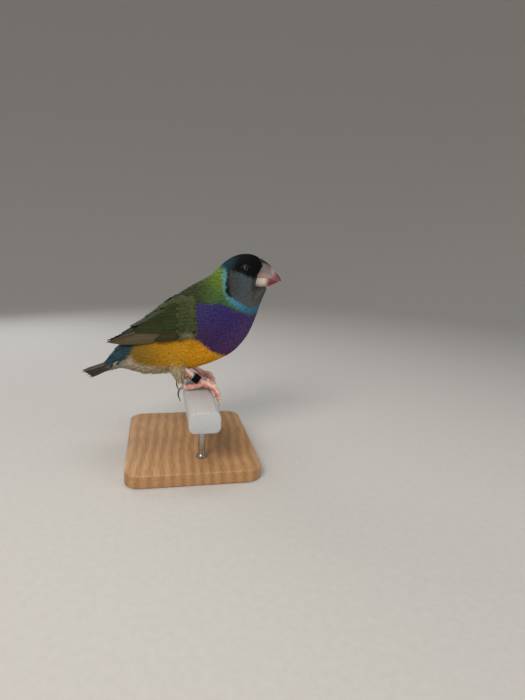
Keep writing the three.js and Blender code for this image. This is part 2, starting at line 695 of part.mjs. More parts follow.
// The closed leg band on the right leg, resting on it from below.
function legBand() {
  const { height, inner, outer, sides } = RING;
  const profile = [[inner, -0.5], [outer - 0.15, -0.5], [outer, -0.46], [outer, 0.46], [outer - 0.15, 0.5], [inner, 0.5]];
  const band = new THREE.LatheGeometry(
    [...profile, profile[0]].map(([r, h]) => new THREE.Vector2(r, h * height)),
    sides,
  );
  const axis = new THREE.Vector3(LEG.heel[0] - LEG.ankle[0], -0.4, LEG.heel[1] - LEG.ankle[1]).normalize();
  band.applyQuaternion(new THREE.Quaternion().setFromUnitVectors(new THREE.Vector3(0, 1, 0), axis));
  const slack = inner - LEG.tarsusRadius - GAP;
  band.translate(
    LEG.heel[0] + (LEG.ankle[0] - LEG.heel[0]) * RING.at - axis.z * -slack * 0.6,
    -LEG.side + 0.15,
    LEG.heel[1] + (LEG.ankle[1] - LEG.heel[1]) * RING.at - slack * 0.75,
  );
  return solid(band);
}

// One tail feather: pair 0 is the central one.
function tailFeather(pair, side) {
  const stray = [0.25 * random(), 0.12 * random(), 0.06 * random()];
  const at = (base, share) => [
    base.x + TAIL.step.x * pair * share + stray[0] * share,
    side * (base.y + TAIL.step.y * pair * share) + stray[1],
    base.z + TAIL.step.z * pair * share + stray[2],
  ];
  const curve = new THREE.CatmullRomCurve3(
    [at(TAIL.root, 0.25), at(TAIL.bend, 0.7), at(TAIL.tip, 1)].map((p) => new THREE.Vector3(...p)),
  );
  const placeAt = (s, across, height) => {
    const p = curve.getPoint(s);
    const ahead = curve.getTangent(s);
    const sideways = new THREE.Vector3(0, side, -0.18).normalize();
    const up = new THREE.Vector3().crossVectors(ahead, sideways).normalize();
    if (up.z < 0) up.negate();
    return p.addScaledVector(sideways, across).addScaledVector(up, height);
  };
  return vane(placeAt, { width: TAIL.width, thick: TAIL.thick, lift: () => 0, pointed: true, steps: 4 });
}

// A row of small feathers on the body's surface, pointing tailward from section t.
function covertRow({ t, angles, length, width, lift }) {
  return angles.map((angle) => {
    const root = bodyFrame(t + 0.05 * random(), angle + 0.04 * random());
    const placeAt = (s, across, height) =>
      root.p
        .clone()
        .addScaledVector(root.back, s * length)
        .addScaledVector(root.round, across)
        .addScaledVector(root.normal, height);
    return vane(placeAt, { width, thick: 0.55, lift: (s) => -0.35 + (lift + 0.35) * s, steps: 3 });
  });
}

// The tail: its cone, the feathers and the coverts over and under their roots.
function tail(cone) {
  const feathers = [];
  for (let pair = 0; pair < TAIL.pairs; pair++) feathers.push(tailFeather(pair, 1), tailFeather(pair, -1));
  const fan = (count, spread, middle) =>
    Array.from({ length: count }, (_, i) => middle + ((i / (count - 1)) * 2 - 1) * spread);
  const coverts = [
    ...covertRow({ t: 1.75, angles: fan(5, 1.6, 0), length: 6.2, width: 4.2, lift: 0.35 }),
    ...covertRow({ t: 0.95, angles: fan(3, 1.0, 0), length: 6.4, width: 3.6, lift: 0.3 }),
    ...covertRow({ t: 1.75, angles: fan(3, 0.8, Math.PI), length: 6.0, width: 4.2, lift: 0.3 }),
    ...covertRow({ t: 0.95, angles: fan(2, 0.4, Math.PI), length: 6.2, width: 3.4, lift: 0.25 }),
  ];
  return union([cone, ...feathers, ...coverts]).subtract(cutPlate(CUTS.tail, 40));
}

// A rectangle with round corners, centred, to be extruded.
function roundedRect(width, height, corner) {
  const shape = new THREE.Shape();
  const [x, y] = [width / 2 - corner, height / 2 - corner];
  shape.absarc(x, y, corner, 0, Math.PI / 2);
  shape.absarc(-x, y, corner, Math.PI / 2, Math.PI);
  shape.absarc(-x, -y, corner, Math.PI, 1.5 * Math.PI);
  shape.absarc(x, -y, corner, 1.5 * Math.PI, 2 * Math.PI);
  shape.closePath();
  return shape;
}

function perchBar() {
  const bar = new THREE.ExtrudeGeometry(roundedRect(PERCH.width, PERCH.thick, PERCH.corner), {
    depth: PERCH.length,
    bevelEnabled: false,
    curveSegments: 5,
  });
  bar.rotateX(Math.PI / 2);
  bar.translate(0, PERCH.centreY + PERCH.length / 2, -PERCH.thick / 2);
  return solid(bar);
}

function standBase() {
  const { length, width, thick, corner, bevel } = BASE;
  const plate = new THREE.ExtrudeGeometry(roundedRect(width - 2 * bevel, length - 2 * bevel, corner), {
    depth: thick - 2 * bevel,
    bevelEnabled: true,
    bevelThickness: bevel,
    bevelSize: bevel,
    bevelSegments: 1,
    curveSegments: 4,
  });
  plate.translate(BASE.centreX, BASE.centreY, bevel);
  return solid(plate);
}

function standRod(y) {
  const rod = new THREE.CylinderGeometry(ROD.radius, ROD.radius, ROD.height, ROD.sides);
  rod.rotateX(Math.PI / 2);
  rod.translate(0, y, BASE.thick + GAP + ROD.height / 2);
  return solid(rod);
}

// Every piece of the bird, in the frame of the perch's top.
function birdMeshes() {
  const legs = [...legParts("right", -1, 0), ...legParts("left", 1, LEG.leftStep)];
  const beds = [-1, 1].flatMap((side) => {
    const step = side > 0 ? LEG.leftStep : 0;
    return [thigh(side, step, BED), tarsus(side, step, BED)];
  });
  const rightBed = wingBed();
  const whole = cut(wholeBody(), ...Object.values(CUTS).map((place) => cutPlate(place)));
  const [cone, rump, torso, breast, neck, head] = whole
    .decompose()
    .sort((a, b) => a.boundingBox().min[0] + a.boundingBox().max[0] - b.boundingBox().min[0] - b.boundingBox().max[0]);
  const bedded = (piece) => cut(piece, rightBed, mirrored(rightBed), ...beds);
  const sockets = [EYE.y, -EYE.y].map((y) => ball(EYE.x, y, EYE.z, EYE.radius + BED, 13));
  const face = cut(head.add(lids()).add(mirrored(lids())), ...sockets, billBed());
  const { upper, lower } = bill();
  const rightWing = wing();
  return [
    meshOf("head", face, "black"),
    meshOf("bill_upper", upper, "bill"),
    meshOf("bill_lower", lower, "bill"),
    meshOf("eye_right", ball(EYE.x, -EYE.y, EYE.z, EYE.radius, 14), "eye"),
    meshOf("eye_left", ball(EYE.x, EYE.y, EYE.z, EYE.radius, 14), "eye"),
    meshOf("neck", neck, "green"),
    meshOf("breast", bedded(breast), "purple"),
    meshOf("torso", bedded(torso), "yellow"),
    meshOf("rump", bedded(rump), "teal"),
    meshOf("tail", tail(cone), "tail"),
    meshOf("wing_right", rightWing, "olive"),
    meshOf("wing_left", mirrored(rightWing), "olive"),
    ...legs.map(([name, made, material]) => meshOf(name, made, material)),
    meshOf("leg_ring_right", legBand(), "ring"),
  ];
}

const bird = new THREE.Group();
bird.position.z = PERCH_TOP;
bird.add(...birdMeshes(), meshOf("perch", perchBar(), "perch"));

const stand = new THREE.Group();
stand.add(
  meshOf("stand_base", standBase(), "wood"),
  meshOf("stand_rod_front", standRod(PERCH.centreY - ROD.spread), "steel"),
  meshOf("stand_rod_back", standRod(PERCH.centreY + ROD.spread), "steel"),
);

const finch = new THREE.Group();
finch.add(bird, stand);
export default finch;
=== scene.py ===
"""Looks of a life-size, still model of a cock gouldian finch, perched on a short bar on a display stand."""

import logging
import math
from dataclasses import dataclass, field
from enum import Enum
from typing import Any, Callable, Sequence

import bpy
import numpy as np
from mathutils import Matrix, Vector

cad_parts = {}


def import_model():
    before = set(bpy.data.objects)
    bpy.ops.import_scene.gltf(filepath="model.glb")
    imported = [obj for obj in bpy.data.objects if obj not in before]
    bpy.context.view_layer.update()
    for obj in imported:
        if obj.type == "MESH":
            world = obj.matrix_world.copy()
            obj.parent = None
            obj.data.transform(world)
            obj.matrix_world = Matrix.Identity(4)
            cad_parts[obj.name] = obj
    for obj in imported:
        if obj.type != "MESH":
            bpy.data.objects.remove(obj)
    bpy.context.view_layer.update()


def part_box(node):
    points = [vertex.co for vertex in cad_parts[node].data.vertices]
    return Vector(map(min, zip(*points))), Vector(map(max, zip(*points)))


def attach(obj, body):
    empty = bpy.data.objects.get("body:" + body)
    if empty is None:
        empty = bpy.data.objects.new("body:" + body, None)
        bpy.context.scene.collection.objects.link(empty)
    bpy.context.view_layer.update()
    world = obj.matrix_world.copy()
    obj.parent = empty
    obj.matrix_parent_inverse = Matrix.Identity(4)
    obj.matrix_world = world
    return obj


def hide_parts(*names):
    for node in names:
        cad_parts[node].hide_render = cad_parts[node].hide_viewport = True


LOG = logging.getLogger("finch")
MM = 0.001
SEED = 20413
BODY = "root"
Array = np.ndarray
Rng = np.random.Generator
Material = bpy.types.Material
Node = bpy.types.Node
NodeTree = bpy.types.NodeTree
Object = bpy.types.Object
Rows = Sequence[Sequence[float]]
Pair = tuple[float, float]
Triple = tuple[float, float, float]
Curve = Callable[[Array], Array]


def linear(code: str) -> Array:
    """Turns an sRGB hex colour into linear light.

    Args:
        code: Six hex digits.

    Returns:
        Three numbers from 0 to 1.
    """
    srgb = np.array([int(code[i : i + 2], 16) / 255 for i in (0, 2, 4)])
    return np.where(srgb <= 0.04045, srgb / 12.92, ((srgb + 0.055) / 1.055) ** 2.4)


def along(rows: Rows, x: Any) -> Array:
    """Reads a table of [x, value] rows on a smooth curve through its points.

    Args:
        rows: The table, rising or falling in x.
        x: Where to read it.

    Returns:
        One value for each x.
    """
    table = np.array(sorted(map(tuple, rows)), float)
    xs, values = table[:, 0], table[:, 1]
    before = np.maximum(np.arange(len(xs)) - 1, 0)
    after = np.minimum(np.arange(len(xs)) + 1, len(xs) - 1)
    slopes = (values[after] - values[before]) / (xs[after] - xs[before])
    x = np.clip(np.asarray(x, float), xs[0], xs[-1])
    i = np.clip(np.searchsorted(xs, x, side="right") - 1, 0, len(xs) - 2)
    span = xs[i + 1] - xs[i]
    u = (x - xs[i]) / span
    bump = u * (1 - u) * span
    ends = values[i] * (1 - u) ** 2 * (1 + 2 * u) + values[i + 1] * u * u * (3 - 2 * u)
    return ends + bump * ((1 - u) * slopes[i] - u * slopes[i + 1])


def smooth(low: float, high: float, x: Array) -> Array:
    """Rises smoothly from 0 at low to 1 at high.

    Args:
        low: Where the rise starts.
        high: Where it ends.
        x: Where to read it.

    Returns:
        A share from 0 to 1 for each x.
    """
    u = np.clip((x - low) / (high - low), 0, 1)
    return u * u * (3 - 2 * u)


def unit(vectors: Array) -> Array:
    """Gives vectors along the last axis a length of 1."""
    return vectors / np.maximum(np.linalg.norm(vectors, axis=-1, keepdims=True), 1e-12)


def mixed(a: Array, b: Array, share: Array) -> Array:
    """Blends two colours or colour arrays by a share for each corner."""
    return a + (b - a) * share[..., None]


def turns(count: int) -> Array:
    """Evenly spaced angles once round, the first not repeated."""
    return np.linspace(0, 2 * np.pi, count, endpoint=False)


def stacked(*parts: Any) -> Array:
    """Spreads numbers and arrays to one shape and stacks them along a new last axis."""
    return np.stack(np.broadcast_arrays(*parts), -1)


def rachis(across: Array, width: float = 0.1) -> Array:
    """A soft ridge of height 1 where a vane's shaft runs, a little to the front of its middle."""
    return np.exp(-(((across + 0.2) / width) ** 2))


def closing(s: Array, start: float, reach: float, least: float) -> Array:
    """Radius shares that round off a limb's end.

    Args:
        s: Shares of its length.
        start: Where it starts to close.
        reach: How far on it would be shut.
        least: The smallest square of the share.

    Returns:
        1 before the start, and falling after it.
    """
    return np.where(s > start, np.sqrt(np.clip(1 - ((s - start) / reach) ** 2, least, 1)), 1)


def round_path(ahead: Array) -> tuple[Array, Array]:
    """Directions square to a path: up from it in its own plane, and across it."""
    up = unit(np.cross(np.array([0, 1.0, 0]), ahead))
    return up, unit(np.cross(ahead, up))


def follow(points: Sequence[Sequence[float]], shares: Array) -> tuple[Array, Array]:
    """Follows a centripetal Catmull-Rom curve through points.

    Args:
        points: The points it passes, in millimetres.
        shares: Shares of its length, from 0 to 1.

    Returns:
        The places at those shares, and the unit directions there.
    """
    p = np.array(points, float)
    p = np.vstack([2 * p[0] - p[1], p, 2 * p[-1] - p[-2]])
    knots = np.concatenate([[0], np.cumsum(np.linalg.norm(np.diff(p, axis=0), axis=1) ** 0.5)])
    fine = np.linspace(knots[1], knots[-2], 40 * (len(p) - 3) + 1)
    i = np.clip(np.searchsorted(knots, fine, side="right") - 1, 1, len(p) - 3)
    t = fine[:, None]
    knot = [knots[i + k][:, None] for k in (-1, 0, 1, 2)]
    level = [p[i + k] for k in (-1, 0, 1, 2)]
    # each step blends neighbours between these pairs of knots, until one curve is left
    for pairs in (((0, 1), (1, 2), (2, 3)), ((0, 2), (1, 3)), ((1, 2),)):
        spans = [(knot[a], knot[b]) for a, b in pairs]
        level = [
            (end - t) / (end - start) * one + (t - start) / (end - start) * other
            for (start, end), one, other in zip(spans, level, level[1:])
        ]
    curve = level[0]
    walked = np.concatenate([[0], np.cumsum(np.linalg.norm(np.diff(curve, axis=0), axis=1))])
    at = np.asarray(shares) * walked[-1]
    place = np.stack([np.interp(at, walked, curve[:, k]) for k in range(3)], -1)
    ahead = np.stack([np.interp(at, walked, np.gradient(curve[:, k], walked)) for k in range(3)], -1)
    return place, unit(ahead)


class Side(Enum):
    """Which side of the bird a piece is on: the sign of its y."""

    RIGHT = -1
    LEFT = 1

    @property
    def word(self) -> str:
        """The side's name in piece names."""
        return self.name.lower()


class Tract(Enum):
    """The kinds of small plumage, each a piece of the coat, with its number."""

    GREEN = 0
    YELLOW = 1
    WHITE = 2
    TEAL = 3
    PURPLE = 4
    TURQUOISE = 5
    BLACK = 6

    @property
    def slot(self) -> str:
        """The material slot in the record."""
        shared = {"white": "white_fluff", "turquoise": "teal_plumage"}
        return shared.get(self.name.lower(), f"{self.name.lower()}_plumage")


class Toe(Enum):
    """The four toes of a foot."""

    HIND = "hind"
    INNER = "inner"
    MIDDLE = "middle"
    OUTER = "outer"


def add(tree: NodeTree, kind: str, sockets: dict[Any, Any] | None = None, **settings: Any) -> Node:
    """Adds one node to a tree.

    Args:
        tree: The node tree.
        kind: Blender's name for the kind of node.
        sockets: For each input, by name or number, a value or the output that feeds it.
        **settings: The node's own settings.

    Returns:
        The new node.
    """
    node = tree.nodes.new(kind)
    for name, value in settings.items():
        setattr(node, name, value)
    for key, value in (sockets or {}).items():
        if isinstance(value, bpy.types.NodeSocket):
            tree.links.new(value, node.inputs[key])
        else:
            node.inputs[key].default_value = value
    return node


def rgba(colour: Array) -> tuple[float, float, float, float]:
    """A linear colour as the four numbers of a colour socket."""
    return (float(colour[0]), float(colour[1]), float(colour[2]), 1.0)


@dataclass(frozen=True)
class Finish:
    """What every surface finish has: its name and how it takes light."""

    name: str
    roughness: float
    ior: float = 1.5
    metallic: float = 0.0

    def start(self, **sockets: Any) -> tuple[Material, NodeTree, Node]:
        """Makes an empty material with its shader.

        Args:
            **sockets: Further shader inputs, with _ for a space in their names.

        Returns:
            The material, its node tree and the shader.
        """
        material = bpy.data.materials.new(self.name)
        material.use_nodes = True
        tree = material.node_tree
        tree.nodes.clear()
        inputs = {"Roughness": self.roughness, "Metallic": self.metallic}
        if not self.metallic:
            inputs["IOR"] = self.ior
        inputs |= {key.replace("_", " "): value for key, value in sockets.items()}
        shader = add(tree, "ShaderNodeBsdfPrincipled", inputs)
        add(tree, "ShaderNodeOutputMaterial", {"Surface": shader.outputs["BSDF"]})
        return material, tree, shader

    def raise_grain(
        self, tree: NodeTree, shader: Node, height: Any, relief: float, deep_mm: float
    ) -> None:
        """Gives the surface a fine relief.

        Args:
            tree: The node tree.
            shader: The shader.
            height: The output that holds the height.
            relief: How strong it is.
            deep_mm: How deep it is, in millimetres.
        """
        sockets = {"Height": height, "Strength": relief, "Distance": deep_mm * MM}
        bump = add(tree, "ShaderNodeBump", sockets)
        tree.links.new(bump.outputs[0], shader.inputs["Normal"])

    def tint(self, tree: NodeTree, shader: Node, shade: Any) -> None:
        """Colours the surface by the corner colours of its mesh.

        Args:
            tree: The node tree.
            shader: The shader.
            shade: The output that makes places lighter or darker.
        """
        marking = add(tree, "ShaderNodeAttribute", attribute_name="marking")
        sockets = {0: marking.outputs["Color"], "Scale": shade}
        tinted = add(tree, "ShaderNodeVectorMath", sockets, operation="SCALE")
        tree.links.new(tinted.outputs[0], shader.inputs["Base Color"])


@dataclass(frozen=True)
class BarbedFeather(Finish):
    """Feather keratin, grown as barbs. Its fine slanting barbs give the eye a soft, silky streak."""

    barb_mm: float = 0.3  # real barbs lie about 0.08 mm apart, and are drawn coarser so that they show
    streak: float = 0.13
    slant: float = -1.1  # how far a barb runs along the feather for each millimetre out from the shaft
    relief: float = 0.25
    relief_mm: float = 0.06
    sheen: float = 0.02
    gloss: float = 0.22  # share of the usual mirror light: loose barbs trap the rest

    def material(self) -> Material:
        """Builds the material.

        Returns:
            The material, coloured by the corner colours of its mesh.
        """
        made, tree, shader = self.start(Sheen_Weight=self.sheen, Sheen_Roughness=0.4, Specular_IOR_Level=self.gloss)
        lie = add(tree, "ShaderNodeAttribute", attribute_name="lie")
        split = add(tree, "ShaderNodeSeparateXYZ", {0: lie.outputs["Vector"]})
        out = add(tree, "ShaderNodeMath", {0: split.outputs["X"]}, operation="ABSOLUTE")
        lean = {0: out.outputs[0], 1: self.slant, 2: split.outputs["Y"]}
        slant = add(tree, "ShaderNodeMath", lean, operation="MULTIPLY_ADD")
        apart = add(tree, "ShaderNodeMath", {0: split.outputs["Z"], 1: 90.0}, operation="MULTIPLY")
        run = add(tree, "ShaderNodeMath", {0: out.outputs[0], 1: 0.25 / self.barb_mm}, operation="MULTIPLY")
        row = add(tree, "ShaderNodeMath", {0: slant.outputs[0], 1: 1 / self.barb_mm}, operation="MULTIPLY")
        place = add(tree, "ShaderNodeCombineXYZ", {0: run.outputs[0], 1: row.outputs[0], 2: apart.outputs[0]})
        barbs = add(tree, "ShaderNodeTexNoise", {"Vector": place.outputs[0], "Scale": 1.0, "Detail": 2.0})
        span = {"Value": barbs.outputs[0], 1: 0.3, 2: 0.7, 3: 1 - self.streak, 4: 1 + self.streak * 0.7}
        shade = add(tree, "ShaderNodeMapRange", span)
        own = add(tree, "ShaderNodeMapRange", {"Value": split.outputs["Z"], 3: 0.93, 4: 1.06})
        both = add(tree, "ShaderNodeMath", {0: shade.outputs[0], 1: own.outputs[0]}, operation="MULTIPLY")
        self.tint(tree, shader, both.outputs[0])
        self.raise_grain(tree, shader, barbs.outputs[0], self.relief, self.relief_mm)
        return made


@dataclass(frozen=True)
class Marked(Finish):
    """A surface coloured by its mesh's corner colours, with a fine grain of its own."""

    grain_mm: float = 0.5
    mottle: float = 0.12
    relief: float = 0.2
    relief_mm: float = 0.05
    coat: float = 0.0
    flesh: float = 0.0
    glow_mm: float = 0.8  # how far light spreads under the surface

    def material(self) -> Material:
        """Builds the material.

        Returns:
            The material.
        """
        made, tree, shader = self.start(Coat_Weight=self.coat, Coat_Roughness=0.12, Subsurface_Weight=self.flesh)
        shader.inputs["Subsurface Scale"].default_value = self.glow_mm * MM
        where = add(tree, "ShaderNodeTexCoord")
        noise = {"Vector": where.outputs["Object"], "Scale": 1 / (self.grain_mm * MM), "Detail": 4.0}
        grain = add(tree, "ShaderNodeTexNoise", noise)
        span = {"Value": grain.outputs[0], 1: 0.3, 2: 0.7, 3: 1 - self.mottle, 4: 1 + self.mottle * 0.6}
        shade = add(tree, "ShaderNodeMapRange", span)
        self.tint(tree, shader, shade.outputs[0])
        self.raise_grain(tree, shader, grain.outputs[0], self.relief, self.relief_mm)
        return made


@dataclass(frozen=True)
class Streaked(Finish):
    """A made surface with long fine streaks one way, in two close colours."""

    light: str = "FFFFFF"
    dark: str = "808080"
    streak_mm: Triple = (1.0, 20.0, 1.0)  # how far a streak runs along x, y and z
    relief: float = 0.1
    relief_mm: float = 0.03
    rings_mm: float = 0.0
    coat: float = 0.0

    def material(self) -> Material:
        """Builds the material.

        Returns:
            The material.
        """
        made, tree, shader = self.start(Coat_Weight=self.coat, Coat_Roughness=0.2)
        where = add(tree, "ShaderNodeTexCoord")
        stretch = tuple(1 / (length * MM) for length in self.streak_mm)
        stretched = {"Vector": where.outputs["Object"], "Scale": stretch}
        scaled = add(tree, "ShaderNodeMapping", stretched, vector_type="POINT")
        fine = add(tree, "ShaderNodeTexNoise", {"Vector": scaled.outputs[0], "Scale": 1.0, "Detail": 5.0})
        height = fine.outputs[0]
        if self.rings_mm:
            slow = {"Vector": where.outputs["Object"], "Scale": 18.0, "Detail": 2.0}
            bent = add(tree, "ShaderNodeTexNoise", slow)
            turn = {"Vector": where.outputs["Object"], "Rotation": (0.0, 0.0, 0.06)}
            board = add(tree, "ShaderNodeMapping", turn)
            split = add(tree, "ShaderNodeSeparateXYZ", {0: board.outputs[0]})
            wander = {0: bent.outputs[0], 1: 9.0 * MM, 2: split.outputs["X"]}
            band = add(tree, "ShaderNodeMath", wander, operation="MULTIPLY_ADD")
            phase = {0: band.outputs[0], 1: 2 * math.pi / (self.rings_mm * MM)}
            rings = add(tree, "ShaderNodeMath", phase, operation="MULTIPLY")
            wave = add(tree, "ShaderNodeMath", {0: rings.outputs[0]}, operation="SINE")
            depth = {"Value": wave.outputs[0], 1: -1.0, 2: 1.0, 3: -0.12, 4: 0.16}
            soft = add(tree, "ShaderNodeMapRange", depth)
            joined = add(tree, "ShaderNodeMath", {0: fine.outputs[0], 1: soft.outputs[0]}, operation="ADD")
            height = joined.outputs[0]
        ramp = add(tree, "ShaderNodeMapRange", {"Value": height, 1: 0.3, 2: 0.7})
        mix = {0: ramp.outputs[0], 6: rgba(linear(self.light)), 7: rgba(linear(self.dark))}
        tone = add(tree, "ShaderNodeMix", mix, data_type="RGBA")
        tree.links.new(tone.outputs[2], shader.inputs["Base Color"])
        self.raise_grain(tree, shader, fine.outputs[0], self.relief, self.relief_mm)
        return made


# Small body feathers: keratin barbs that lie close and soft, so the coat looks like silk.
DOWN_COAT = BarbedFeather("feather_keratin_soft_barbs", 0.66)
# Head feathers full of black pigment: they swallow light, so the cap stays deep black with next to no gloss.
DARK_COAT = BarbedFeather("feather_keratin_dense_melanin", 0.6, gloss=0.08, sheen=0.0)
# Flight and tail feathers: zipped barbs in a firm flat vane, with a faint gloss.
FLIGHT_VANES = BarbedFeather("feather_keratin_zipped_vane", 0.6, barb_mm=0.34, streak=0.2, gloss=0.1)
# Plumes of the vent and thighs: loose downy barbs that scatter light, nearly matt.
LOOSE_PLUMES = BarbedFeather("feather_down_loose", 0.8, barb_mm=0.4, streak=0.12, sheen=0.1)
# The skin under the coat, only seen as depth between feathers, so it is matt.
UNDERCOAT = Marked("skin_with_feather_bases", 0.8, ior=1.4, grain_mm=0.6, mottle=0.2)
# Bill: keratin worn smooth by shelling seed, a low lustre over a slight glow from within.
BILL_HORN = Marked("keratin_bill_worn_smooth", 0.34, ior=1.55, grain_mm=0.9, mottle=0.07, coat=0.12, flesh=0.08)
# Eye: a wet cornea over a dark iris, which gives one crisp highlight.
WET_EYE = Marked("cornea_wet_over_dark_iris", 0.06, ior=1.376, grain_mm=0.8, mottle=0.05, relief=0.0, coat=0.2)
# Lid: bare thin skin with fine wrinkles, matt round the wet eye.
LID_SKIN = Marked("lid_skin_bare", 0.55, ior=1.4, grain_mm=0.2, mottle=0.2, relief=0.4)
# Legs: flesh under thin scutes, so pink glows through and each scale has a soft edge.
SCALED_SKIN = Marked("leg_skin_scuted", 0.42, ior=1.45, grain_mm=0.45, mottle=0.16, relief=0.3, flesh=0.2)
# Claws: horn in long layers, nearly see-through and smooth.
CLAW_HORN = Marked("claw_horn_layered", 0.34, ior=1.55, grain_mm=0.35, mottle=0.14, coat=0.25)
# Leg band: anodised aluminium, dyed black and cut bright at its ends.
BAND_METAL = Marked("aluminium_black_anodised", 0.3, metallic=1.0, grain_mm=0.25, mottle=0.12, relief=0.15)
# Perch: rigid white PVC, extruded, with faint lengthways draw lines and a satin face.
PERCH_PLASTIC = Streaked(
    "pvc_white_extruded", 0.38, ior=1.53, light="CFD0D1", dark="C2C4C5", streak_mm=(1.2, 60, 1.2), relief=0.25
)
# Stand base: oiled beech, sanded, with a straight grain and short dark flecks.
BASE_BEECH = Streaked(
    "beech_oiled", 0.48, light="C79B6B", dark="A97B4C", streak_mm=(0.7, 11, 0.7), rings_mm=5.5,
    relief=0.2, coat=0.1
)
# Stand posts: stainless steel, brushed round, so highlights smear along the post.
POST_STEEL = Streaked(
    "stainless_steel_brushed",
    0.27,
    metallic=1.0,
    light="C9CBCD",
    dark="A6A9AC",
    streak_mm=(5, 5, 0.15),
    relief=0.12,
    relief_mm=0.01,
)
# Studio floor: card painted with pale matt emulsion, which gives only a soft tooth.
FLOOR_CARD = Streaked(
    "card_painted_pale_matt", 0.9, light="CFCCC7", dark="CAC7C2", streak_mm=(3, 3, 3),
    relief=0.05, relief_mm=0.05
)


@dataclass
class Loft:
    """Closed skins over rings of corners, all of one layout, with what each corner carries.

    Attributes:
        corners: Millimetres from the perch's top, shaped pieces, rows, ring, 3.
        colour: Linear colours that broadcast to the corners.
        lie: Millimetres across and along the feather and its own random share.
        unwrap: Places on the unwrap, from 0 to 1.
        joined: Whether the last row meets the first, as in a ring.
    """

    corners: Array
    colour: Array | None = None
    lie: Array | None = None
    unwrap: Array | None = None
    joined: bool = False

    def quads(self) -> Array:
        """Lists the faces, pointing out.

        Returns:
            Four corner numbers a face.
        """
        pieces, rows, ring = self.corners.shape[:3]
        row = np.arange(rows if self.joined else rows - 1)[:, None]
        j = np.arange(ring)[None, :]
        after, beside = (row + 1) % rows, (j + 1) % ring
        sides = [row * ring + j, row * ring + beside, after * ring + beside, after * ring + j]
        faces = [stacked(*sides).reshape(-1, 4)]
        if not self.joined:
            k = np.arange(ring // 2 - 1)
            faces.append(np.stack([k + 1, k, ring - 1 - k, ring - 2 - k], -1))
            faces.append(np.stack([k, k + 1, ring - 2 - k, ring - 1 - k], -1) + (rows - 1) * ring)
        one = np.concatenate(faces)
        every = (one[None] + (np.arange(pieces) * rows * ring)[:, None, None]).reshape(-1, 4)
        p = self.corners.reshape(-1, 3)
        p = p - p.mean(0)
        a, b, c, d = (p[every[:, k]] for k in range(4))
        volume = np.sum(a * np.cross(b, c)) + np.sum(a * np.cross(c, d))
        return every if volume > 0 else every[:, ::-1]

    def carried(self, name: str, width: int) -> Array:
        """One of the corner values, spread over all corners.

        Args:
            name: The attribute.
            width: How many numbers each corner has.

        Returns:
            The values, one row a corner.
        """
        value = getattr(self, name)
        value = np.zeros(width) if value is None else value
        return np.broadcast_to(value, (*self.corners.shape[:3], width)).reshape(-1, width)


